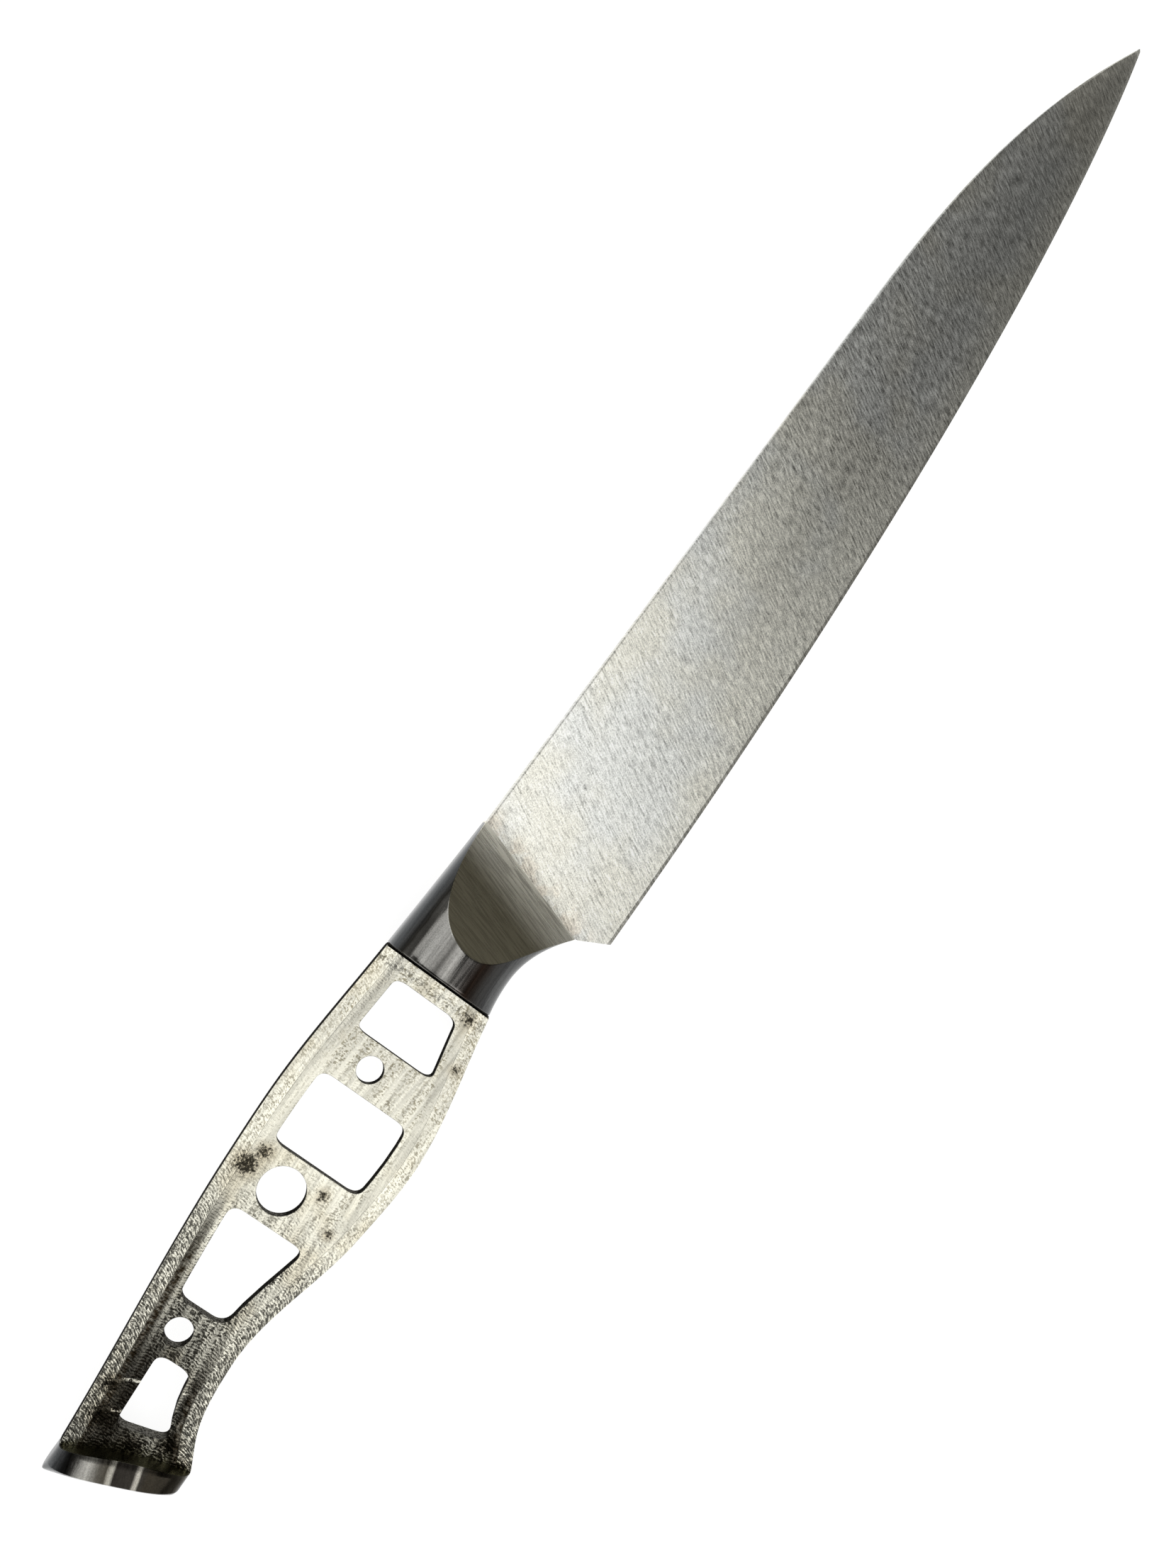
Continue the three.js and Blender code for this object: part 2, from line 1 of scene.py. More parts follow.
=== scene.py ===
"""Dresses a slicing-knife blank in steel: ground blade, oval bolster, milled tang and domed butt cap.

Shapes are worked out in millimetres in the knife's own axes, where x = 0 is the bolster's rear face, +x runs
to the tip, +y to the spine and z = 0 is the middle plane of the steel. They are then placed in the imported
frame.
"""

import logging
import math
from collections.abc import Callable
from dataclasses import dataclass, field
from enum import Enum, IntEnum

import bmesh
import bpy
import numpy as np
from mathutils import Matrix, Vector
from mathutils.geometry import delaunay_2d_cdt
from mathutils.kdtree import KDTree

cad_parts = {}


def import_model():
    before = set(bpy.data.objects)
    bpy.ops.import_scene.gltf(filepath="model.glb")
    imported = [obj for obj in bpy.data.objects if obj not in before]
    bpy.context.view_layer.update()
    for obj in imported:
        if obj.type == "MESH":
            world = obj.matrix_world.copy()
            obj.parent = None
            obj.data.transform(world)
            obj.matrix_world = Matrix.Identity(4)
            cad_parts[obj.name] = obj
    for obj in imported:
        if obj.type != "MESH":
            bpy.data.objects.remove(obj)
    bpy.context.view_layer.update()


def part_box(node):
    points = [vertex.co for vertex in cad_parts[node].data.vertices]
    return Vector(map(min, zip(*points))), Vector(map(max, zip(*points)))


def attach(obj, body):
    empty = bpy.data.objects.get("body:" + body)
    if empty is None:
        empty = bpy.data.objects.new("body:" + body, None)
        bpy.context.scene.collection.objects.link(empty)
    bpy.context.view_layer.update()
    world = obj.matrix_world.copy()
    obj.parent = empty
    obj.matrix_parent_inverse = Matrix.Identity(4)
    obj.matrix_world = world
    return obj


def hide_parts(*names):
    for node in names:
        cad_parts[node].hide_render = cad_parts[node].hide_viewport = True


LOG = logging.getLogger("knife")
MM = 0.001

# Points closer together than this are one point
WELD = 2e-4 * MM
# Size of the flat grain map for each millimetre of steel
GRAIN_RATE = 0.01
# Where most of a cloudy noise lies
NOISE_SPAN = (0.3, 0.7)
# Octaves of the fine and of the coarser noises
FINE_DETAIL = 4.0
COARSE_DETAIL = 3.0
# Strength of each finer octave of a stretched noise
FINE_ROUGH = 0.55
# Least length that is divided by
TINY = 1e-9

Span = tuple[float, float]
Triple = tuple[float, float, float]
Colour = tuple[float, float, float, float]
Stops = tuple[tuple[float, Colour], ...]
Socket = bpy.types.NodeSocket
Value = float | tuple | Socket


class Slot(Enum):
    """Material slots that the record names."""

    BLADE = "blade_steel"
    BOLSTER = "bolster_steel"
    TANG = "tang_steel"
    CAP = "cap_steel"


class BolsterFace(IntEnum):
    """Finishes of the bolster, in the order of its materials."""

    POLISHED = 0
    GROUND = 1
    END = 2


class CapFace(IntEnum):
    """Finishes of the butt cap, in the order of its materials."""

    DOME = 0
    FRONT = 1


class TangFace(IntEnum):
    """Finishes of the tang, in the order of its materials."""

    MILLED = 0
    CUT = 1


class Curve(Enum):
    """How a value passes from one end of a range to the other."""

    STRAIGHT = "LINEAR"
    SOFT = "SMOOTHSTEP"


# Working plane and drafts


@dataclass(frozen=True)
class Placement:
    """Moves the knife's own millimetres into the frame's metres."""

    offset: Triple

    @classmethod
    def over(cls, low: Vector, high: Vector, bolster_height: float) -> "Placement":
        """Finds the placement from the bolster's box.

        Args:
            low: lowest corner of the bolster node, in metres.
            high: highest corner of the bolster node, in metres.
            bolster_height: height of the bolster at its rear face, in millimetres.

        Returns:
            The placement that puts the knife's axis where the frame has it.
        """
        middle = (low[2] + high[2]) / 2
        return cls((low[0] / MM, high[1] / MM - bolster_height / 2, middle / MM))

    def place(self, points: np.ndarray) -> np.ndarray:
        """Turns rows of millimetres into metres in the frame."""
        return (np.asarray(points, float) + np.array(self.offset)) * MM


def smooth(value: np.ndarray, low: float, high: float) -> np.ndarray:
    """Soft step from 0 at low to 1 at high."""
    part = np.clip((np.asarray(value, float) - low) / (high - low), 0.0, 1.0)
    return part * part * (3.0 - 2.0 * part)


def bezier(points: list[Span], count: int) -> np.ndarray:
    """Samples a Bezier curve.

    Args:
        points: its control points.
        count: how many points come back.

    Returns:
        An array of count rows of x and y.
    """
    share = np.linspace(0.0, 1.0, count)[:, None]
    order = len(points) - 1
    total = np.zeros((count, 2))
    for i, point in enumerate(points):
        weight = math.comb(order, i) * share**i * (1.0 - share) ** (order - i)
        total += weight * np.array(point, float)
    return total


def flowing(points: list[Span], count: int) -> np.ndarray:
    """Samples a smooth curve through points, eased by the distances between them.

    Args:
        points: points that the curve passes.
        count: samples in each span.

    Returns:
        Rows of x and y from the first point to the last.
    """
    at = [np.array(point, float) for point in points]
    at = [2 * at[0] - at[1]] + at + [2 * at[-1] - at[-2]]
    share = np.linspace(0.0, 1.0, count, endpoint=False)[:, None]
    rows = []
    for a, b, c, d in zip(at, at[1:], at[2:], at[3:]):
        before = float(np.linalg.norm(b - a))
        here = float(np.linalg.norm(c - b))
        after = float(np.linalg.norm(d - c))
        leave = ((b - a) / before - (c - a) / (before + here) + (c - b) / here) * here
        enter = ((c - b) / here - (d - b) / (here + after) + (d - c) / after) * here
        square = -3 * b + 3 * c - 2 * leave - enter
        cube = 2 * b - 2 * c + leave + enter
        rows.append(b + leave * share + square * share**2 + cube * share**3)
    rows.append(at[-2][None, :])
    return np.concatenate(rows)


def spaced(line: np.ndarray, step: float) -> np.ndarray:
    """Lays points at even steps along a polyline.

    Args:
        line: rows of x and y.
        step: distance wanted between points.

    Returns:
        The evenly spaced rows, with both ends kept.
    """
    lengths = np.concatenate([[0.0], np.cumsum(np.linalg.norm(np.diff(line, axis=0), axis=1))])
    count = max(2, int(round(lengths[-1] / step)) + 1)
    at = np.linspace(0.0, lengths[-1], count)
    return np.stack([np.interp(at, lengths, line[:, 0]), np.interp(at, lengths, line[:, 1])], axis=1)


def inside(points: np.ndarray, loop: np.ndarray) -> np.ndarray:
    """Tells which points lie inside a closed loop.

    Args:
        points: rows of x and y.
        loop: corners of the loop in order.

    Returns:
        A row of truths, one for each point.
    """
    within = np.zeros(len(points), bool)
    after = np.roll(loop, -1, axis=0)
    for (ax, ay), (bx, by) in zip(loop, after):
        if ay == by:
            continue
        crosses = (ay > points[:, 1]) != (by > points[:, 1])
        reach = ax + (points[:, 1] - ay) / (by - ay) * (bx - ax)
        within ^= crosses & (points[:, 0] < reach)
    return within


@dataclass
class MeshDraft:
    """Gathers points and faces of one piece before it becomes a mesh."""

    points: list[np.ndarray] = field(default_factory=list)
    faces: list[list[int]] = field(default_factory=list)
    finishes: list[int] = field(default_factory=list)
    count: int = 0

    def add_points(self, block: np.ndarray) -> np.ndarray:
        """Adds points.

        Args:
            block: an array whose last axis holds x, y and z.

        Returns:
            The numbers of the new points, in the block's own layout.
        """
        rows = np.asarray(block, float)
        numbers = np.arange(rows[..., 0].size).reshape(rows.shape[:-1]) + self.count
        self.points.append(rows.reshape(-1, 3))
        self.count += numbers.size
        return numbers

    def add_grid(self, grid: np.ndarray, wrap: bool = False, finish: int | np.ndarray = 0) -> None:
        """Adds the faces between the rows and columns of a grid of points.

        A face with a repeated point becomes a triangle, so that two rows may meet in one point.

        Args:
            grid: point numbers, row by row.
            wrap: whether the last column joins the first.
            finish: number of the material, one for all faces or one for each row of faces.
        """
        columns = np.concatenate([grid, grid[:, :1]], axis=1) if wrap else grid
        near = columns[:-1]
        far = columns[1:]
        quads = np.stack([near[:, :-1], near[:, 1:], far[:, 1:], far[:, :-1]], axis=-1)
        numbers = np.broadcast_to(np.asarray(finish).reshape(-1, 1), quads.shape[:2])
        for quad, number in zip(quads.reshape(-1, 4).tolist(), numbers.reshape(-1).tolist()):
            corners = list(dict.fromkeys(quad))
            if len(corners) > 2:
                self.faces.append(corners)
                self.finishes.append(number)

    def add_faces(self, rows: np.ndarray, finish: int | np.ndarray = 0) -> None:
        """Adds faces given by their point numbers.

        Args:
            rows: one face in each row.
            finish: number of the material, one for all faces or one for each.
        """
        self.faces.extend(np.asarray(rows).tolist())
        self.finishes.extend(int(number) for number in np.broadcast_to(finish, (len(rows),)))

    def all_points(self) -> np.ndarray:
        """All points so far, in millimetres."""
        return np.concatenate(self.points)

    def add_ladder(self, left: np.ndarray, right: np.ndarray, turned: bool, finish: int = 0) -> None:
        """Adds the faces between two rows of points.

        Args:
            left: point numbers of one row.
            right: point numbers of the other row.
            turned: whether the faces look the other way.
            finish: number of the material.
        """
        self.add_grid(np.stack([right, left] if turned else [left, right]), finish=finish)

    def build(self, name: str, placement: Placement, sharp: float) -> bpy.types.Object:
        """Makes the object.

        Args:
            name: name of the piece.
            placement: where the knife stands in the frame.
            sharp: edges that turn more than this many degrees are left sharp.

        Returns:
            The new object, linked into the scene.
        """
        mesh = bpy.data.meshes.new(name)
        mesh.from_pydata(placement.place(self.all_points()).tolist(), [], self.faces)
        mesh.polygons.foreach_set("material_index", self.finishes)
        mesh.polygons.foreach_set("use_smooth", [True] * len(self.faces))
        mesh.validate()
        mesh.set_sharp_from_angle(angle=math.radians(sharp))
        piece = bpy.data.objects.new(name, mesh)
        bpy.context.scene.collection.objects.link(piece)
        return piece


def mark(piece: bpy.types.Object, name: str, values: np.ndarray) -> None:
    """Writes one number for each point of a piece, for its material to read.

    Args:
        piece: the piece.
        name: name that the material reads.
        values: one number for each point.
    """
    layer = piece.data.attributes.new(name, "FLOAT", "POINT")
    layer.data.foreach_set("value", np.asarray(values, np.float32))


def lay_grain(piece: bpy.types.Object, across: Triple, along: Triple) -> None:
    """Lays a flat map whose first axis runs across the grinding scratches.

    Args:
        piece: the piece.
        across: direction square to the scratches.
        along: direction of the scratches.
    """
    mesh = piece.data
    points = np.empty(len(mesh.vertices) * 3)
    mesh.vertices.foreach_get("co", points)
    corners = np.empty(len(mesh.loops), int)
    mesh.loops.foreach_get("vertex_index", corners)
    spread = points.reshape(-1, 3) / MM * GRAIN_RATE
    flat = np.stack([spread @ np.array(across), spread @ np.array(along)], axis=1)[corners]
    mesh.uv_layers.new(name="grain").data.foreach_set("uv", flat.reshape(-1))


def weld(piece: bpy.types.Object) -> None:
    """Joins points that lie on one another, and drops the faces that collapse with them.

    Args:
        piece: the piece, with its marks and its grain laid.
    """
    skin = bmesh.new()
    skin.from_mesh(piece.data)
    bmesh.ops.remove_doubles(skin, verts=skin.verts, dist=WELD)
    skin.to_mesh(piece.data)
    skin.free()


def settle(piece: bpy.types.Object, node: str, finishes: list[bpy.types.Material]) -> None:
    """Dresses a piece and lets it stand for its node.

    Args:
        piece: the piece.
        node: the node that it stands for.
        finishes: its materials in the order that its faces number them.
    """
    weld(piece)
    for finish in finishes:
        piece.data.materials.append(finish)
    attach(piece, "root")
    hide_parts(node)
    LOG.info("%s: %d faces", piece.name, len(piece.data.polygons))


# Finishes


class NodeSheet:
    """One material's nodes, laid out by short calls."""

    def __init__(self, name: str) -> None:
        """Starts an empty material.

        Args:
            name: name of the material.
        """
        self.material = bpy.data.materials.new(name)
        self.material.use_nodes = True
        self.tree = self.material.node_tree
        self.tree.nodes.clear()

    def feed(self, target: Socket, value: Value) -> None:
        """Sets a socket or links another socket to it.

        Args:
            target: the socket that is fed.
            value: a constant, or the socket that feeds it.
        """
        if isinstance(value, Socket):
            self.tree.links.new(value, target)
        else:
            target.default_value = value

    def node(
        self, kind: str, inputs: dict[str | int, Value] | None = None, **settings: object
    ) -> bpy.types.Node:
        """Adds a node.

        Args:
            kind: node type without its common prefix.
            inputs: values or sockets by input name or number.
            settings: properties of the node.

        Returns:
            The new node.
        """
        made = self.tree.nodes.new("ShaderNode" + kind)
        for key, value in settings.items():
            setattr(made, key, value)
        for key, value in (inputs or {}).items():
            self.feed(made.inputs[key], value)
        return made

    def math(self, operation: str, first: Value, second: Value = 0.0) -> Socket:
        """One step of arithmetic."""
        return self.node("Math", {0: first, 1: second}, operation=operation).outputs[0]

    def plus(self, first: Value, second: Value) -> Socket:
        """Sum of two numbers."""
        return self.math("ADD", first, second)

    def minus(self, first: Value, second: Value) -> Socket:
        """First number less the second."""
        return self.math("SUBTRACT", first, second)

    def times(self, first: Value, second: Value) -> Socket:
        """Product of two numbers."""
        return self.math("MULTIPLY", first, second)

    def over(self, first: Value, second: Value) -> Socket:
        """First number divided by the second."""
        return self.math("DIVIDE", first, second)

    def most(self, first: Value, second: Value) -> Socket:
        """Larger of two numbers."""
        return self.math("MAXIMUM", first, second)

    def blend(self, share: Value, first: Value, second: Value) -> Socket:
        """Passes from one number to another."""
        return self.node("Mix", {0: share, 2: first, 3: second}, data_type="FLOAT").outputs[0]

    def millimetres(self) -> Socket:
        """Place on the piece in millimetres."""
        place = self.node("TexCoord").outputs["Object"]
        return self.node("VectorMath", {0: place, "Scale": 1.0 / MM}, operation="SCALE").outputs[0]

    def along(self, place: Socket, axis: Triple) -> Socket:
        """Distance of a place along an axis."""
        return self.node("VectorMath", {0: place, 1: axis}, operation="DOT_PRODUCT").outputs["Value"]

    def noise(self, place: Value, scale: float, detail: float = 2.0, rough: float = 0.5) -> Socket:
        """Cloudy noise between 0 and 1."""
        inputs = {"Vector": place, "Scale": scale, "Detail": detail, "Roughness": rough}
        return self.node("TexNoise", inputs).outputs[0]

    def stretched(self, parts: tuple[Value, Value, Value], detail: float = 2.0) -> Socket:
        """Noise over three coordinates that are already scaled."""
        place = self.node("CombineXYZ", {0: parts[0], 1: parts[1], 2: parts[2]}).outputs[0]
        return self.noise(place, 1.0, detail, FINE_ROUGH)

    def woven(self, first: Value, second: Value, weave: Triple, detail: float = 2.0) -> Socket:
        """Noise over two numbers, each at its own rate.

        Args:
            first: first number.
            second: second number.
            weave: how fast the noise changes with each of them, and which slice of it is taken.
            detail: octaves of the noise.

        Returns:
            The noise, between 0 and 1.
        """
        parts = (self.times(first, weave[0]), self.times(second, weave[1]), weave[2])
        return self.stretched(parts, detail)

    def range(
        self,
        value: Value,
        low: float,
        high: float,
        start: float = 0.0,
        end: float = 1.0,
        curve: Curve = Curve.SOFT,
    ) -> Socket:
        """Carries a value from one range to another.

        Args:
            value: what is carried.
            low: value that gives start.
            high: value that gives end.
            start: result at and below low.
            end: result at and above high.
            curve: how it passes between them.

        Returns:
            The carried value.
        """
        inputs = {"Value": value, "From Min": low, "From Max": high, "To Min": start, "To Max": end}
        return self.node("MapRange", inputs, interpolation_type=curve.value).outputs[0]

    def rough(self, noise: Socket, middle: float, swing: Span) -> Socket:
        """Roughness that varies with a noise, by a swing about its middle."""
        return self.range(noise, *NOISE_SPAN, middle + swing[0], middle + swing[1])

    def mix(self, share: Value, first: Value, second: Value, blend: str = "MIX") -> Socket:
        """Mixes two colours, which are the node's sockets 6 and 7."""
        made = self.node("Mix", {0: share, 6: first, 7: second}, data_type="RGBA", blend_type=blend)
        return made.outputs[2]

    def grey(self, value: Socket) -> Socket:
        """Turns a number into a grey."""
        return self.node("CombineColor", {0: value, 1: value, 2: value}).outputs[0]

    def read(self, name: str) -> Socket:
        """Reads a number that the mesh carries."""
        return self.node("Attribute", attribute_name=name).outputs["Fac"]

    def bands(self, value: Value, stops: Stops) -> Socket:
        """Colours that follow a number.

        Args:
            value: the number.
            stops: numbers in rising order, each with its colour.

        Returns:
            The colour at the number.
        """
        low = stops[0][0]
        high = stops[-1][0]
        share = self.range(value, low, high, curve=Curve.STRAIGHT)
        made = self.node("ValToRGB", {0: share})
        marks = made.color_ramp.elements
        while len(marks) < len(stops):
            marks.new(0.5)
        for number, (at, tint) in enumerate(stops):
            marks[number].position = (at - low) / (high - low)
            marks[number].color = tint
        return made.outputs[0]

    def bump(self, height: Value, distance: float, strength: float = 1.0) -> Socket:
        """Turns a height into a normal; the distance is in millimetres."""
        inputs = {"Height": height, "Distance": distance * MM, "Strength": strength}
        return self.node("Bump", inputs).outputs[0]

    def steel(self, inputs: dict[str | int, Value]) -> bpy.types.Material:
        """Closes the sheet with a metal surface.

        Args:
            inputs: values or sockets of the surface by input name.

        Returns:
            The finished material.
        """
        shader = self.node("BsdfPrincipled", {"Metallic": 1.0, **inputs})
        out = self.node("OutputMaterial")
        self.tree.links.new(shader.outputs[0], out.inputs["Surface"])
        return self.material


def colour(red: float, green: float, blue: float) -> Colour:
    """A linear colour with full cover."""
    return (red, green, blue, 1.0)


WHITE = colour(1.0, 1.0, 1.0)


@dataclass(frozen=True)
class GroundSteel:
    """Satin steel with fine scratches that run slantwise from the spine to the edge, and painted shade in its
    colour.

    The reaches are distances ahead of the bolster's front line, or from the edge, in millimetres.
    """

    name: str
    cool: Colour
    warm: Colour
    roughness: float = 0.33
    rough_swing: Span = (-0.05, 0.06)
    anisotropy: float = 0.55
    lean: float = 26.8
    contrast: float = 0.42
    relief: float = 0.01
    border_warmth: float = 0.6
    hair_rate: float = 0.5
    hair_scale: float = 3.2
    hair_depth: float = 0.5
    speckle_scale: float = 4.0
    speckle_rough: float = 0.7
    speckle_depth: float = 0.4
    speckle_relief: float = 0.5
    scratch_weave: Triple = (1.4, 0.07, 7.0)
    scratch_span: Span = (0.56, 0.72)
    scratch_depth: float = 0.25
    cloud_scale: float = 0.06
    cloud_span: Span = (0.38, 0.62)
    edge_reach: Span = (0.5, 7.0)
    edge_warmth: float = 0.8
    # Painted shade: the ground front darkens towards its rear
    ramp_rear_shade_reach: Span = (-8.0, -1.2)
    ramp_rear_shade: Colour = colour(0.258, 0.237, 0.168)
    heat_reach: Span = (0.0, 5.0)
    heat_scale: float = 0.3
    heat_span: Span = (0.46, 0.62)
    heat_tint: Colour = colour(0.74, 0.66, 0.54)
    # Painted shade: the face darkens across its middle
    face_shade_reach: Span = (10.0, 75.0)
    face_shades: Stops = (
        (0.0, WHITE),
        (0.2, colour(0.97, 0.97, 0.97)),
        (0.55, colour(0.74, 0.74, 0.74)),
        (0.85, colour(0.82, 0.82, 0.82)),
        (1.0, colour(0.85, 0.85, 0.85)),
    )
    # Painted shade: the blade darkens towards the point
    point_shade_reach: Span = (50.0, 110.0)
    point_shade_tint: Colour = colour(0.8, 0.8, 0.8)
    fade_reach: Span = (100.0, 180.0)
    fade: float = 0.75

    def directions(self) -> tuple[Triple, Triple]:
        """Directions across and along the scratches."""
        turn = math.radians(self.lean)
        return (math.cos(turn), -math.sin(turn), 0.0), (math.sin(turn), math.cos(turn), 0.0)

    def base(self, sheet: NodeSheet, place: Socket, ahead: Socket) -> Socket:
        """Colour under the scratches: warm and cool clouds, painted shade towards the rear of the ground
        front, painted shade across the face and towards the point, and the warm patches by the border.

        Args:
            sheet: the material's nodes.
            place: place on the piece in millimetres.
            ahead: distance ahead of the bolster's front line.

        Returns:
            The colour.
        """
        cloud = sheet.range(sheet.noise(place, self.cloud_scale), *self.cloud_span)
        metal = sheet.mix(cloud, self.cool, self.warm)
        edge = sheet.range(sheet.read("from_edge"), *self.edge_reach, 1.0, 0.0)
        metal = sheet.mix(sheet.times(edge, self.edge_warmth), metal, self.warm)
        # Painted shade on the ground front, darker towards its rear
        metal = sheet.mix(sheet.range(ahead, *self.ramp_rear_shade_reach, 1.0, 0.0), metal, self.ramp_rear_shade)
        # Painted shade across the face, then towards the point
        face_shade = sheet.bands(sheet.read("share"), self.face_shades)
        face_shade = sheet.mix(sheet.range(ahead, *self.face_shade_reach), WHITE, face_shade)
        metal = sheet.mix(1.0, metal, face_shade, "MULTIPLY")
        metal = sheet.mix(sheet.range(ahead, *self.point_shade_reach), metal, self.point_shade_tint, "MULTIPLY")
        border = sheet.range(ahead, *self.heat_reach, 1.0, 0.0)
        patch = sheet.range(sheet.noise(place, self.heat_scale), *self.heat_span)
        heat = sheet.times(sheet.times(border, patch), self.border_warmth)
        return sheet.mix(heat, metal, self.heat_tint)

    def make(self) -> bpy.types.Material:
        """Builds the material.

        Returns:
            The finished material.
        """
        sheet = NodeSheet(self.name)
        place = sheet.millimetres()
        across_axis, along_axis = self.directions()
        across = sheet.along(place, across_axis)
        along = sheet.along(place, along_axis)
        hair = sheet.woven(across, along, (self.hair_scale, self.hair_rate, 0.0), FINE_DETAIL)
        long_hair = sheet.woven(across, along, self.scratch_weave)
        speckle = sheet.noise(place, self.speckle_scale, COARSE_DETAIL, self.speckle_rough)
        ahead = sheet.read("from_front")
        deep = self.hair_depth * self.contrast
        fine = sheet.range(hair, *NOISE_SPAN, 1.0 - deep, 1.0 + deep, Curve.STRAIGHT)
        specked = self.speckle_depth * self.contrast
        grain = sheet.range(speckle, *NOISE_SPAN, -specked, specked, Curve.STRAIGHT)
        scratch = sheet.range(long_hair, *self.scratch_span)
        shade = sheet.minus(sheet.plus(fine, grain), sheet.times(scratch, self.scratch_depth * self.contrast))
        strength = sheet.range(ahead, *self.fade_reach, 1.0, self.fade)
        metal = sheet.mix(strength, self.base(sheet, place, ahead), sheet.grey(shade), "MULTIPLY")
        height = sheet.plus(hair, sheet.times(speckle, self.speckle_relief))
        return sheet.steel(
            {
                "Base Color": metal,
                "Roughness": sheet.rough(hair, self.roughness, self.rough_swing),
                "Anisotropic": self.anisotropy,
                "Tangent": sheet.node("Tangent", direction_type="UV_MAP", uv_map="grain").outputs[0],
                "Normal": sheet.bump(height, self.relief),
            }
        )


@dataclass(frozen=True)
class PolishedSteel:
    """Buffed steel whose lengthwise bands of painted reflection follow the round of the piece."""

    name: str
    # Painted reflections: a tint for each place round the section
    bands: Stops
    streak_axis: Triple
    waver: float
    roughness: float = 0.16
    rough_swing: Span = (-0.04, 0.06)
    relief: float = 0.01
    run_rate: float = 0.1
    side_rate: float = 2.2
    streak_shades: Span = (0.75, 1.12)
    speckle_scale: float = 4.5
    speckle_shades: Span = (-0.14, 0.12)
    speckle_relief: float = 0.4
    waver_scale: float = 0.25

    def make(self) -> bpy.types.Material:
        """Builds the material.

        Returns:
            The finished material.
        """
        sheet = NodeSheet(self.name)
        place = sheet.millimetres()
        side_axis = (-self.streak_axis[1], self.streak_axis[0], 0.0)
        run = sheet.times(sheet.along(place, self.streak_axis), self.run_rate)
        side = sheet.times(sheet.along(place, side_axis), self.side_rate)
        up = sheet.times(sheet.along(place, (0.0, 0.0, 1.0)), self.side_rate)
        streak = sheet.stretched((run, side, up), FINE_DETAIL)
        speckle = sheet.noise(place, self.speckle_scale)
        slow = sheet.times(sheet.minus(sheet.noise(place, self.waver_scale, 1.0), 0.5), self.waver)
        # Painted reflections, as tints by place round the section
        metal = sheet.bands(sheet.plus(sheet.read("across"), slow), self.bands)
        lines = sheet.range(streak, *NOISE_SPAN, *self.streak_shades)
        dots = sheet.range(speckle, *NOISE_SPAN, *self.speckle_shades)
        metal = sheet.mix(1.0, metal, sheet.grey(sheet.plus(lines, dots)), "MULTIPLY")
        height = sheet.plus(streak, sheet.times(speckle, self.speckle_relief))
        rough = sheet.rough(streak, self.roughness, self.rough_swing)
        return sheet.steel(
            {"Base Color": metal, "Roughness": rough, "Normal": sheet.bump(height, self.relief)}
        )


@dataclass(frozen=True)
class Smudge:
    """One dirty place on the milled steel, in the frame's millimetres."""

    centre: Span
    reach: float
    depth: float


@dataclass(frozen=True)
class Reads:
    """What the parts of the milled steel share: its sheet and the numbers that it reads at each place."""

    sheet: NodeSheet
    place: Socket
    run: Socket
    near: Socket
    side: Socket
    ahead: Socket


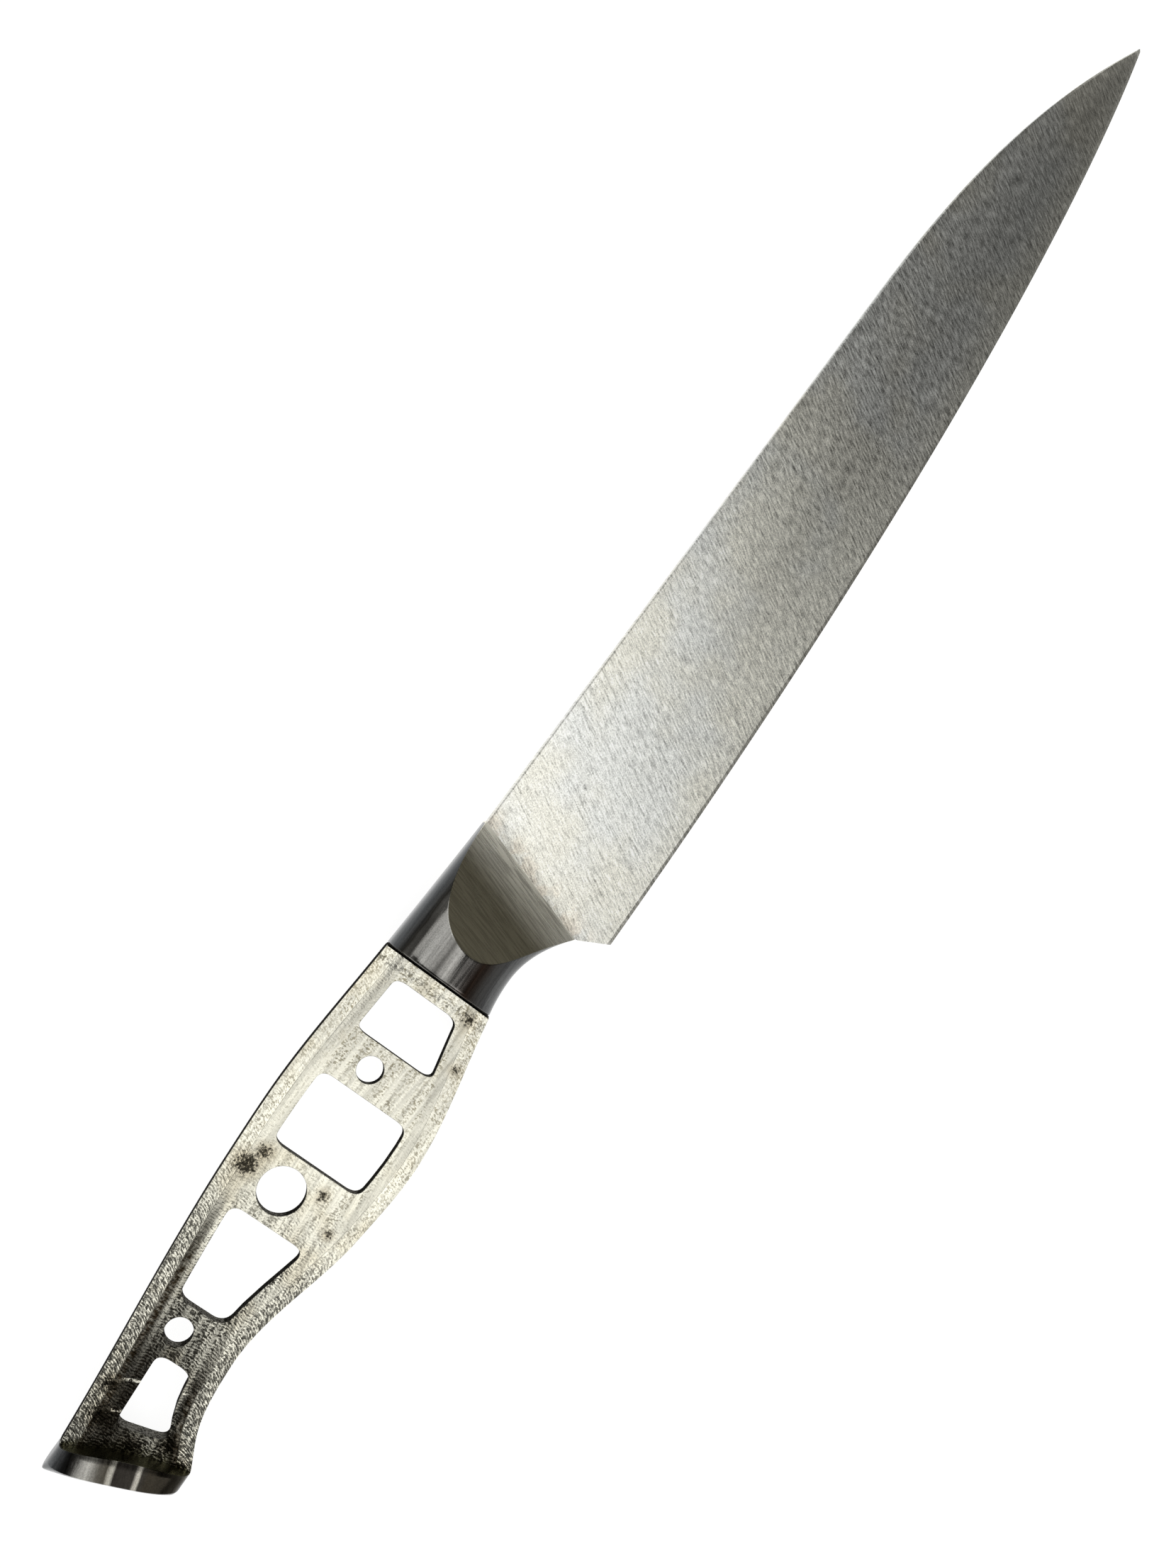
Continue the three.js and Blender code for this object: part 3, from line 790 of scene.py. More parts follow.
@dataclass(frozen=True)
class MilledSteel:
    """Bright milled steel: bowed cutter marks across each lengthwise pass, with grime in the marks, and
    painted shade that darkens it towards the cap, on the rim's slopes and near the bolster.

    A span with run in its name lies along the tang in millimetres, where 0 is the bolster's rear face.
    A weave is the rates of a stretched noise along and across the tang, and the slice that is taken of it.
    """

    name: str
    bright: Colour
    grime: Colour
    rim: float
    hollow: float
    pass_width: float
    lifts: tuple[float, ...]
    smudges: tuple[Smudge, ...]
    roughness: float = 0.17
    rough_swing: Span = (-0.04, 0.08)
    relief: float = 0.009
    relief_shares: Span = (0.7, 1.5)
    speck_relief: Span = (0.5, 3.0)
    pitch: float = 0.46
    bow: float = 2.2
    rim_blur: float = 0.05
    rim_lean: float = 1.0
    waver_scale: float = 0.5
    waver: float = 0.8
    arc_weave: Triple = (0.8, 1.7, 3.0)
    arc_span: Span = (0.36, 0.64)
    arc_depth: float = 0.95
    wave_depth: float = 0.3
    step_back: float = 0.12
    step_gap: Span = (0.1, 0.3)
    step_scale: float = 2.4
    step_specks: Span = (0.4, 0.56)
    step_fade: float = 0.5
    slope_rise: Span = (-0.3, 0.1)
    slope_fall: float = 0.9
    slope_bare: float = 0.8
    ridge_span: Span = (0.32, 0.42)
    ridge_start: float = 1.0
    floor_start: float = 0.2
    ragged_weave: Triple = (1.6, 1.1, 0.0)
    coarse_weave: Triple = (1.9, 1.5, 5.0)
    close_weave: Triple = (3.0, 2.2, 9.0)
    streak_weave: Triple = (0.07, 1.3, 11.0)
    torn_span: Span = (0.42, 0.52)
    torn_by_butt_shade: float = 0.9
    bar_span: Span = (0.1, 0.26)
    bar_lift: float = 0.15
    speck_span: Span = (0.55, 0.61)
    dirt_and_shade_share: float = 0.94
    slope_shade_span: Span = (0.35, 0.6)
    slope_shade_least: float = 0.75
    streak_span: Span = (0.36, 0.62)
    streak_shades: Span = (0.6, 1.12)
    streak_least: float = 0.55
    cover_scale: float = 0.25
    cover_span: Span = (0.38, 0.62)
    cover_least: float = 0.45
    cover_shares: Span = (0.85, 1.2)
    worn_blur: float = 0.1
    worn_share: float = 0.12
    cover_run: Span = (-32.0, -8.0)
    # Painted shade towards the cap: the marks grow to cover all and turn near-black
    butt_cover_run: Span = (-38.0, -52.0)
    butt_shade_run: Span = (-36.0, -54.0)
    rear_run: Span = (-54.0, -80.0)
    # Painted shade near the bolster
    near_bolster_shade_run: Span = (-30.0, -14.0)
    # Painted shade on the slope beside the rim, from these runs on the back and the belly
    slope_shade_back_run: Span = (-42.0, -58.0)
    slope_shade_belly_run: Span = (-62.0, -76.0)
    # Painted shade on the milled floor, near-black towards the cap
    floor_shade_run: Span = (-52.0, -78.0)
    streak_run: Span = (-45.0, -62.0)
    relief_run: Span = (-34.0, -60.0)
    floor_shade_sides: Span = (6.0, 13.0)
    floor_shade_shares: Span = (0.12, 0.94)
    floor_shade_by_belly: float = 0.6
    crumb_scale: float = 2.2
    crumb_rough: float = 0.75
    crumb_wave: float = 0.05
    crumb_level: float = 0.72
    lump_edge: float = 0.2
    lump_fade: float = 0.35
    smudge_lift: float = 0.46
    smudge_share: float = 0.7
    filth_share: float = 0.96
    seam_at: float = -2.4
    seam_gap: Span = (0.3, 1.0)
    seam_span: Span = (0.44, 0.6)
    seam_share: float = 0.7
    stain_scale: float = 0.15
    stain_span: Span = (0.48, 0.7)
    stain_share: float = 0.5
    stain_tint: Colour = colour(0.71, 0.645, 0.475)
    # Painted shade near the bolster, laid over the metal
    near_bolster_shade_tint: Colour = colour(0.77, 0.77, 0.78)
    # Near-black of the painted shade towards the cap
    butt_shade_tint: Colour = colour(0.012, 0.011, 0.008)
    # Dark brown of the painted shade on the slope
    slope_shade_tint: Colour = colour(0.036, 0.027, 0.016)
    # Near-black of the painted shade on the floor
    floor_shade_tint: Colour = colour(0.016, 0.013, 0.009)
    smudge_tint: Colour = colour(0.55, 0.47, 0.35)
    filth_tint: Colour = colour(0.009, 0.0075, 0.005)

    def passes(self, at: Reads) -> Socket:
        """Place across one lengthwise pass of the cutter, from -0.5 to 0.5."""
        start = at.sheet.minus(at.side, self.rim + self.hollow)
        return at.sheet.minus(at.sheet.math("FRACT", at.sheet.over(start, self.pass_width)), 0.5)

    def by_back(self, at: Reads) -> Socket:
        """1 on the rim and slope of the back, 0 elsewhere."""
        return at.sheet.math("LESS_THAN", at.side, self.rim + self.hollow)

    def marks(self, at: Reads) -> Socket:
        """Wave of the cutter marks, about -1 to 1: broken arcs over a fine even wave.

        Args:
            at: the shared numbers.

        Returns:
            The wave.
        """
        sheet = at.sheet
        on_rim = sheet.range(at.near, self.rim - self.rim_blur, self.rim + self.rim_blur, 1.0, 0.0)
        rim_part = sheet.minus(sheet.over(at.near, self.rim), 0.5)
        part = sheet.blend(on_rim, self.passes(at), rim_part)
        bowed = sheet.times(sheet.times(part, part), self.bow)
        turned = sheet.range(self.by_back(at), 0.0, 1.0, -self.rim_lean, self.rim_lean, Curve.STRAIGHT)
        lean = sheet.times(sheet.times(on_rim, at.near), turned)
        waver = sheet.times(sheet.noise(at.place, self.waver_scale), self.waver)
        phase = sheet.over(at.run, self.pitch)
        for share in (bowed, lean, waver):
            phase = sheet.plus(phase, share)
        fine = sheet.math("SINE", sheet.times(phase, 2.0 * math.pi))
        arcs = sheet.woven(phase, at.side, self.arc_weave, COARSE_DETAIL)
        arcs = sheet.range(arcs, *self.arc_span, -self.arc_depth, self.arc_depth, Curve.STRAIGHT)
        return sheet.plus(arcs, sheet.times(fine, self.wave_depth))

    def steps(self, at: Reads) -> Socket:
        """Marks the bright steps in front of the cap: the lifts are real, and they are kept clear of the dirt
        and the painted shade in speckles, so that they show as painted glints.

        Args:
            at: the shared numbers.

        Returns:
            1 along the steps, 0 elsewhere.
        """
        sheet = at.sheet
        line = 0.0
        for start in self.lifts:
            gap = sheet.math("ABSOLUTE", sheet.minus(at.ahead, start - self.step_back))
            line = sheet.most(sheet.range(gap, *self.step_gap, 1.0, 0.0), line)
        specks = sheet.range(sheet.noise(at.place, self.step_scale), *self.step_specks)
        off_rim = sheet.range(at.near, self.rim, self.rim + self.step_fade)
        return sheet.times(sheet.times(line, specks), off_rim)

    def slope(self, at: Reads) -> Socket:
        """Marks the slope between the rim and the milled floor.

        Args:
            at: the shared numbers.

        Returns:
            1 on the slope, 0 elsewhere.
        """
        low, high = self.slope_rise
        rises = at.sheet.range(at.near, self.rim + low, self.rim + high)
        falls = at.sheet.range(at.near, self.rim + self.slope_fall, self.rim + self.hollow, 1.0, 0.0)
        return at.sheet.times(rises, falls)

    def soiled(self, at: Reads) -> Socket:
        """How thickly the dirty places lie, up to 1 at their middles.

        Args:
            at: the shared numbers.

        Returns:
            The thickness.
        """
        sheet = at.sheet
        level = sheet.node("VectorMath", {0: at.place, 1: (1.0, 1.0, 0.0)}, operation="MULTIPLY").outputs[0]
        thick = 0.0
        for spot in self.smudges:
            inputs = {0: level, 1: (*spot.centre, 0.0)}
            gap = sheet.node("VectorMath", inputs, operation="DISTANCE").outputs["Value"]
            thick = sheet.most(sheet.range(gap, 0.0, spot.reach, spot.depth, 0.0), thick)
        return thick

    def cover(self, at: Reads, slope: Socket, steps: Socket) -> Socket:
        """Share of the surface that takes grime, and towards the cap the painted shade; the slope, the ridges
        and the steps stay cleaner.

        Args:
            at: the shared numbers.
            slope: 1 on the slope beside the rim.
            steps: 1 on the bright steps.

        Returns:
            The share.
        """
        sheet = at.sheet
        ridge = sheet.range(sheet.math("ABSOLUTE", self.passes(at)), *self.ridge_span)
        on_floor = sheet.range(at.near, self.rim + self.ridge_start, self.rim + self.hollow)
        ridge = sheet.times(ridge, on_floor)
        bare = sheet.most(sheet.most(sheet.times(slope, self.slope_bare), ridge), steps)
        cover = sheet.range(sheet.noise(at.place, self.cover_scale), *self.cover_span, self.cover_least, 1.0)
        cover = sheet.times(cover, sheet.range(at.run, *self.cover_run, *self.cover_shares))
        # The cover grows to all towards the cap, for the painted shade
        butt_cover = sheet.range(at.run, *self.butt_cover_run)
        cover = sheet.times(sheet.most(cover, butt_cover), sheet.minus(1.0, bare))
        on_rim = (self.rim - self.worn_blur, self.rim + self.worn_blur)
        worn = sheet.times(butt_cover, sheet.range(at.near, *on_rim, self.worn_share, 0.0))
        return sheet.times(cover, sheet.minus(1.0, worn))

    def filth(self, at: Reads, wave: Socket, thick: Socket) -> Socket:
        """Black crumbs in the dirty places and along the seam beside the bolster.

        Args:
            at: the shared numbers.
            wave: the cutter marks.
            thick: how thickly the dirty places lie.

        Returns:
            The share of the surface that is black.
        """
        sheet = at.sheet
        crumbs = sheet.noise(at.place, self.crumb_scale, FINE_DETAIL, self.crumb_rough)
        crumbs = sheet.plus(crumbs, sheet.times(wave, self.crumb_wave))
        lumps = sheet.plus(sheet.minus(crumbs, self.crumb_level), sheet.times(thick, self.smudge_lift))
        lumps = sheet.times(sheet.range(lumps, 0.0, self.lump_edge), sheet.range(thick, 0.0, self.lump_fade))
        gap = sheet.math("ABSOLUTE", sheet.minus(at.run, self.seam_at))
        seam = sheet.range(gap, *self.seam_gap, 1.0, 0.0)
        seam = sheet.times(seam, sheet.range(crumbs, *self.seam_span, 0.0, self.seam_share))
        return sheet.most(lumps, seam)

    def make(self) -> bpy.types.Material:
        """Builds the material.

        Returns:
            The finished material.
        """
        sheet = NodeSheet(self.name)
        names = ("along", "from_side", "from_back", "ahead")
        at = Reads(sheet, sheet.millimetres(), *(sheet.read(name) for name in names))
        wave = self.marks(at)
        slope = self.slope(at)
        steps = self.steps(at)
        thick = self.soiled(at)

        # Grime in the marks and in specks; towards the cap the marks turn near-black and cover all, a painted
        # shade
        rear = sheet.range(at.run, *self.rear_run, curve=Curve.STRAIGHT)
        butt_shaded = sheet.range(at.run, *self.butt_shade_run)
        weaves = (self.ragged_weave, self.coarse_weave, self.close_weave)
        ragged, coarse, close = (sheet.woven(at.run, at.side, weave, FINE_DETAIL) for weave in weaves)
        speck = sheet.blend(rear, close, coarse)
        torn = sheet.most(sheet.range(ragged, *self.torn_span), sheet.times(butt_shaded, self.torn_by_butt_shade))
        deep = sheet.plus(wave, sheet.times(rear, self.bar_lift))
        bars = sheet.times(sheet.range(deep, *self.bar_span), torn)
        dirt_and_shade = sheet.most(bars, sheet.range(speck, *self.speck_span))
        dirt_and_shade = sheet.times(dirt_and_shade, self.cover(at, slope, steps))

        # Colour, from the clean metal up to the dirt and the painted shades
        stain = sheet.range(sheet.noise(at.place, self.stain_scale), *self.stain_span, 0.0, self.stain_share)
        metal = sheet.mix(stain, self.bright, self.stain_tint)
        # Painted shade: the metal is darker near the bolster
        metal = sheet.mix(sheet.range(at.run, *self.near_bolster_shade_run), metal, self.near_bolster_shade_tint, "MULTIPLY")
        # Near-black painted shade towards the cap, over the grime
        grime_and_butt_shade = sheet.mix(butt_shaded, self.grime, self.butt_shade_tint)
        metal = sheet.mix(sheet.times(dirt_and_shade, self.dirt_and_shade_share), metal, grime_and_butt_shade)
        # Painted shade: the slope beside the rim turns dark brown in patches towards the cap
        slope_shaded = sheet.blend(
            self.by_back(at),
            sheet.range(at.run, *self.slope_shade_belly_run),
            sheet.range(at.run, *self.slope_shade_back_run),
        )
        patchy = sheet.range(ragged, *self.slope_shade_span, self.slope_shade_least, 1.0)
        metal = sheet.mix(sheet.times(sheet.times(slope_shaded, slope), patchy), metal, self.slope_shade_tint)
        # Painted shade: the floor darkens to near-black towards the cap, less towards the belly, but not on
        # the steps
        floor = sheet.range(at.near, self.rim + self.floor_start, self.rim + self.hollow)
        floor_shade = sheet.times(floor, sheet.range(at.run, *self.floor_shade_run, *self.floor_shade_shares))
        floor_shade = sheet.times(floor_shade, sheet.range(at.side, *self.floor_shade_sides, 1.0, self.floor_shade_by_belly))
        metal = sheet.mix(sheet.times(floor_shade, sheet.minus(1.0, steps)), metal, self.floor_shade_tint)
        streak = sheet.woven(at.run, at.side, self.streak_weave, COARSE_DETAIL)
        streak = sheet.grey(sheet.range(streak, *self.streak_span, *self.streak_shades))
        streaked = sheet.range(at.run, *self.streak_run, self.streak_least, 1.0)
        metal = sheet.mix(streaked, metal, streak, "MULTIPLY")
        metal = sheet.mix(sheet.times(thick, self.smudge_share), metal, self.smudge_tint, "MULTIPLY")
        black = sheet.times(self.filth(at, wave, thick), self.filth_share)
        metal = sheet.mix(black, metal, self.filth_tint)

        # Relief, bolder towards the cap
        height = sheet.plus(wave, sheet.times(speck, sheet.range(rear, 0.0, 1.0, *self.speck_relief)))
        height = sheet.times(height, sheet.range(at.run, *self.relief_run, *self.relief_shares))
        rough = sheet.rough(speck, self.roughness, self.rough_swing)
        return sheet.steel(
            {"Base Color": metal, "Roughness": rough, "Normal": sheet.bump(height, self.relief)}
        )


@dataclass(frozen=True)
class CutSteel:
    """Rough cut steel, for walls and end faces."""

    name: str
    metal: Colour
    roughness: float = 0.5
    rough_swing: Span = (-0.1, 0.1)
    # A dark edge tint darkens the grazing reflections, a painted shade
    edge: Colour = colour(0.05, 0.05, 0.05)
    # Colour for faces that look along +x, a painted lit side
    front: Colour | None = None
    front_span: Span = (0.6, 0.95)
    mottle: float = 0.6
    grit_scale: float = 3.0
    relief: float = 0.03

    def make(self) -> bpy.types.Material:
        """Builds the material.

        Returns:
            The finished material.
        """
        sheet = NodeSheet(self.name)
        grit = sheet.noise(sheet.millimetres(), self.grit_scale, COARSE_DETAIL)
        shade = sheet.range(grit, *NOISE_SPAN, 1.0 - self.mottle, 1.0 + self.mottle)
        metal = self.metal
        # Faces that look along +x take the front colour: a painted lit side
        if self.front:
            facing = sheet.along(sheet.node("NewGeometry").outputs["Normal"], (1.0, 0.0, 0.0))
            metal = sheet.mix(sheet.range(facing, *self.front_span), metal, self.front)
        metal = sheet.mix(1.0, metal, sheet.grey(shade), "MULTIPLY")
        return sheet.steel(
            {
                "Base Color": metal,
                "Roughness": sheet.rough(grit, self.roughness, self.rough_swing),
                "Specular Tint": self.edge,
                "Normal": sheet.bump(grit, self.relief),
            }
        )


@dataclass(frozen=True)
class FloorPaint:
    """White studio floor that shows itself white and keeps a soft shadow."""

    name: str = "floor_white"
    glow: float = 0.9
    paint: Colour = colour(0.34, 0.34, 0.34)

    def make(self) -> bpy.types.Material:
        """Builds the material.

        Returns:
            The finished material.
        """
        sheet = NodeSheet(self.name)
        path = sheet.node("LightPath")
        seen = sheet.most(path.outputs["Is Camera Ray"], path.outputs["Is Glossy Ray"])
        seen = sheet.most(seen, path.outputs["Is Transmission Ray"])
        matt = sheet.node("BsdfDiffuse", {"Color": self.paint})
        glow = sheet.node("Emission", {"Color": WHITE, "Strength": self.glow})
        lit = sheet.node("AddShader", {0: matt.outputs[0], 1: glow.outputs[0]})
        both = sheet.node("MixShader", {0: seen, 1: matt.outputs[0], 2: lit.outputs[0]})
        out = sheet.node("OutputMaterial")
        sheet.tree.links.new(both.outputs[0], out.inputs["Surface"])
        return sheet.material


# Blade


@dataclass
class Blade:
    """Ground blade: a wedge from spine to edge that thins towards the point."""

    length: float = 202.0
    height: float = 30.0
    spine_thick: float = 3.0
    point_thick: float = 1.2
    spine_break: float = 0.25
    spine_parts: int = 6
    bevel_width: float = 0.6
    bevel_parts: int = 4
    bevel_thick: float = 0.5
    edge_land: float = 0.2
    point_drop: float = 12.8
    point_length: float = 74.0
    point_land: float = 0.6
    spine_ease: float = 32.0
    point_ease: float = 20.0
    point_angle: float = 22.0
    edge_point_ease: float = 44.0
    edge_point_angle: float = 14.0
    edge_heel_ease: float = 77.0
    heel_reach: float = 21.8
    spine_level: float = 9.3
    front_length: float = 23.0
    front_slant: float = 15.7
    beard_drop: float = 15.0
    tuck: float = 0.4
    ease_spine: float = 8.0
    ease_belly: float = 3.0
    ease_slope: float = 0.26
    ease_levels: Span = (-13.0, 8.0)
    tuck_levels: Span = (0.1, 1.5)
    spine_samples: int = 300
    edge_samples: int = 400
    steps: int = 160
    ease_steps: int = 20
    face_columns: int = 26
    column_gap: float = 0.002
    sharp: float = 4.0

    def __post_init__(self) -> None:
        """Works out the spine and edge lines."""
        self.edge_level = self.spine_level - self.height
        self.tip_x = self.heel_reach + self.length
        self.tip_y = self.spine_level - self.point_drop
        self.lean = math.tan(math.radians(self.front_slant))
        start = self.tip_x - self.point_length
        top = self.tip_y + self.point_land / 2
        low = self.tip_y - self.point_land / 2
        fall = self.point_ease * math.tan(math.radians(self.point_angle))
        rise = self.edge_point_ease * math.tan(math.radians(self.edge_point_angle))
        self.spine_line = bezier(
            [
                (start, self.spine_level),
                (start + self.spine_ease, self.spine_level),
                (self.tip_x - self.point_ease, top + fall),
                (self.tip_x, top),
            ],
            self.spine_samples,
        )
        self.edge_line = bezier(
            [
                (self.heel_reach, self.edge_level),
                (self.heel_reach + self.edge_heel_ease, self.edge_level),
                (self.tip_x - self.edge_point_ease, self.tip_y - rise),
                (self.tip_x, low),
            ],
            self.edge_samples,
        )
        face_height = self.height - self.spine_break - self.bevel_width
        self.face_rise = (self.spine_thick - self.bevel_thick) / 2 / face_height
        self.face_taper = (self.point_thick - self.spine_thick) / 2 / (self.tip_x - self.front_length)
        self.face_middle = self.spine_thick / 2 - self.face_rise * (self.spine_level - self.spine_break)

    def front_x(self, y: np.ndarray) -> np.ndarray:
        """Place of the front line of the bolster at a height."""
        return self.front_length + np.asarray(y, float) * self.lean

    def spine_at(self, x: np.ndarray) -> np.ndarray:
        """Height of the spine."""
        return np.interp(x, self.spine_line[:, 0], self.spine_line[:, 1])

    def edge_at(self, x: np.ndarray) -> np.ndarray:
        """Height of the cutting edge."""
        return np.interp(x, self.edge_line[:, 0], self.edge_line[:, 1])

    def rear_x(self, y: np.ndarray) -> np.ndarray:
        """Rear end of the blade at a height, tucked a little way under the bolster's front.

        Args:
            y: heights.

        Returns:
            Places along the blade.
        """
        above = np.asarray(y, float) + self.beard_drop
        knee = float(self.front_x(-self.beard_drop))
        share = above / (self.edge_level + self.beard_drop)
        heel = knee + (self.heel_reach - knee) * np.clip(share, 0.0, 1.0)
        hidden = self.front_x(y) - self.tuck * smooth(above, *self.tuck_levels)
        return np.where(np.asarray(y, float) > -self.beard_drop, hidden, heel)

    def eased(self, x: np.ndarray, y: np.ndarray) -> np.ndarray:
        """Height that rounds out the hollow line where the ground front of the bolster meets the face.

        Args:
            x: places along the blade.
            y: heights.

        Returns:
            What is added to the distance from the middle plane.
        """
        width = self.ease_belly + (self.ease_spine - self.ease_belly) * smooth(y, *self.ease_levels)
        short = np.clip(width / 2 - np.abs(x - self.front_x(y)), 0.0, None)
        return self.ease_slope * short**2 / (2 * width)

    def section(self, x: np.ndarray, share: np.ndarray) -> tuple[np.ndarray, np.ndarray]:
        """Height and half thickness of the blade, by share from the spine to the edge.

        Args:
            x: places along the blade.
            share: 0 at the spine and 1 at the edge.

        Returns:
            Heights and half thicknesses.
        """
        top = self.spine_at(x)
        low = self.edge_at(x)
        room = top - low
        broken = np.minimum(self.spine_break, room / self.spine_parts)
        bevel = np.minimum(self.bevel_width, room / self.bevel_parts)
        run = self.tip_x - self.front_length
        half = (self.spine_thick + (self.point_thick - self.spine_thick) * (x - self.front_length) / run) / 2
        y = top - share * room
        face = (top - broken - y) / (room - broken - bevel)
        thick = half + (self.bevel_thick / 2 - half) * np.clip(face, 0.0, 1.0)
        thick = thick - np.clip(broken - (top - y), 0.0, None)
        thick = thick - np.clip(1.0 - (y - low) / bevel, 0.0, 1.0) * (self.bevel_thick - self.edge_land) / 2
        return y, thick

    def shares(self) -> np.ndarray:
        """Columns from the spine to the edge, closer together at the broken corner and the bevel.

        Returns:
            Shares from 0 at the spine to 1 at the edge.
        """
        corner = self.spine_break / self.height
        bevel = 1.0 - self.bevel_width / self.height
        face = np.linspace(corner + self.column_gap, bevel - self.column_gap, self.face_columns)
        ends = np.array([0.0, corner * 0.5, corner, bevel, bevel + (1 - bevel) * 0.5, 1.0])
        return np.sort(np.concatenate([face, ends]))

    def build(
        self, placement: Placement, steel: GroundSteel, finish: bpy.types.Material
    ) -> bpy.types.Object:
        """Makes the blade.

        Args:
            placement: where the knife stands in the frame.
            steel: the ground finish, for its scratch directions.
            finish: its material.

        Returns:
            The finished piece.
        """
        shares = self.shares()
        first = self.spine_level - shares * self.height
        start = self.rear_x(first)
        near = self.ease_spine / self.length
        eased = np.linspace(0.0, near, self.ease_steps)
        steps = np.concatenate([eased, np.linspace(near, 1.0, self.steps)[1:]])
        x = start[None, :] + (self.tip_x - start)[None, :] * steps[:, None]
        y, half = self.section(x, np.broadcast_to(shares, x.shape))
        half = half + self.eased(x, y) * (y > -self.beard_drop)
        upper = np.stack([x, y, half], axis=-1)
        lower = upper * np.array([1.0, 1.0, -1.0])
        draft = MeshDraft()
        ring = np.concatenate([upper, lower[:, ::-1]], axis=1)
        grid = draft.add_points(ring)
        draft.add_grid(grid, wrap=True)
        count = len(shares)
        for row, turned in ((grid[0], True), (grid[-1], False)):
            draft.add_ladder(row[:count], row[count:][::-1], turned)
        piece = draft.build("blade_ground", placement, self.sharp)
        at = draft.all_points()
        mark(piece, "from_edge", at[:, 1] - self.edge_at(at[:, 0]))
        mark(piece, "from_front", at[:, 0] - self.front_x(at[:, 1]))
        top = self.spine_at(at[:, 0])
        mark(piece, "share", (top - at[:, 1]) / (top - self.edge_at(at[:, 0])))
        across, along = steel.directions()
        lay_grain(piece, across, along)
        settle(piece, "blade", [finish])
        return piece


# Bolster


@dataclass
class Bolster:
    """Oval collar whose two faces are ground down to the blade."""

    blade: Blade
    height: float = 21.1
    thick: float = 14.6
    grind_radius: float = 140.0
    crown_width: float = 5.3
    crown_level: float = 1.9
    back_roundness: float = 2.5
    belly_roundness: float = 1.95
    front_shoulder: float = 0.35
    neck_at: float = 6.6
    neck_rise: float = 0.7
    crest_soft: float = 0.1
    rear_round: float = 0.25
    ground_least: float = 0.25
    seek_reach: float = 40.0
    seek_rounds: int = 46
    ramp_rounds: int = 8
    turns: int = 224
    rim_rows: int = 4
    body_rows: int = 36
    body_crowding: float = 1.5
    ground_rows: int = 52
    ground_crowding: float = 1.4
    off_edge: float = 12.0
    sharp: float = 32.0

    def __post_init__(self) -> None:
        """Sets the grinding wheel against the blade's face and the crown."""
        blade = self.blade
        across = np.array([blade.lean, 1.0, blade.face_rise + blade.face_taper * blade.lean])
        self.across = across / np.linalg.norm(across)
        out = np.array([-blade.face_taper, -blade.face_rise, 1.0])
        out = out - self.across * (out @ self.across)
        self.out = out / np.linalg.norm(out)
        self.ahead = np.cross(self.across, self.out)
        run = (blade.front_length - self.crown_width) * math.cos(math.radians(blade.front_slant))
        rise = self.thick / 2 - blade.face_middle
        chord = math.hypot(run, rise)
        reach = math.sqrt(self.grind_radius**2 - (chord / 2) ** 2)
        self.axis_ahead = reach * rise / chord - run / 2
        self.axis_out = reach * run / chord + rise / 2

    def back(self, x: np.ndarray) -> np.ndarray:
        """Height of the back line.

        Args:
            x: places along the bolster.

        Returns:
            The heights.
        """
        blade = self.blade
        share = np.clip(x / float(blade.front_x(blade.spine_level)), 0.0, 1.0)
        low = blade.spine_level + self.front_shoulder
        bend = 2 * share * (1 - share) * (low + self.front_shoulder)
        return (1 - share) ** 2 * self.height / 2 + bend + share**2 * low

    def underside(self, x: np.ndarray) -> np.ndarray:
        """Height of the underside: a slight neck, then the sweep down to the heel.

        Args:
            x: places along the bolster.

        Returns:
            The heights.
        """
        neck = self.neck_rise - self.height / 2
        knee = float(self.blade.front_x(-self.blade.beard_drop))
        first = np.clip(x / self.neck_at, 0.0, 1.0)
        second = np.clip((x - self.neck_at) / (knee - self.neck_at), 0.0, 1.0)
        front = neck - (1 - first) ** 2 * self.neck_rise
        return front + second**2 * (-self.blade.beard_drop - neck)

    def body(self, x: np.ndarray, turn: np.ndarray) -> tuple[np.ndarray, np.ndarray]:
        """Oval section.

        Args:
            x: places along the bolster.
            turn: angles round the section, from the back by the upper face.

        Returns:
            Heights, and distances from the middle plane.
        """
        up = np.cos(turn)
        side = np.sin(turn)
        power = 2.0 / np.where(up > 0, self.back_roundness, self.belly_roundness)
        reach = np.where(up > 0, self.back(x), self.underside(x)) - self.crown_level
        y = self.crown_level + reach * np.abs(up) ** power
        return y, self.thick / 2 * np.abs(side) ** power

    def ramp(self, x: np.ndarray, y: np.ndarray) -> np.ndarray:
        """Distance of the ground front from the middle plane.

        Args:
            x: places along the bolster.
            y: heights.

        Returns:
            The distances.
        """
        z = np.full_like(x, self.blade.face_middle)
        for _ in range(self.ramp_rounds):
            place = np.stack([x - self.blade.front_length, y, z - self.blade.face_middle], axis=-1)
            ahead = place @ self.ahead
            sag = np.sqrt(np.clip(self.grind_radius**2 - (ahead - self.axis_ahead) ** 2, 0.0, None))
            z = z + (self.axis_out - sag - place @ self.out) / self.out[2]
        return z

    def seek(self, turn: np.ndarray, low: np.ndarray, high: np.ndarray, ground: bool) -> np.ndarray:
        """Walks each lengthwise line to its crossing with the ramp or with the front line.

        Args:
            turn: the lines' angles round the section.
            low: places behind the crossings.
            high: places ahead of them.
            ground: whether the ramp is sought, not the front line.

        Returns:
            The crossings.
        """
        low = low.copy()
        high = high.copy()
        for _ in range(self.seek_rounds):
            middle = (low + high) / 2
            y, z = self.body(middle, turn)
            past = z > self.ramp(middle, y) if ground else middle > self.blade.front_x(y)
            high = np.where(past, middle, high)
            low = np.where(past, low, middle)
        return (low + high) / 2

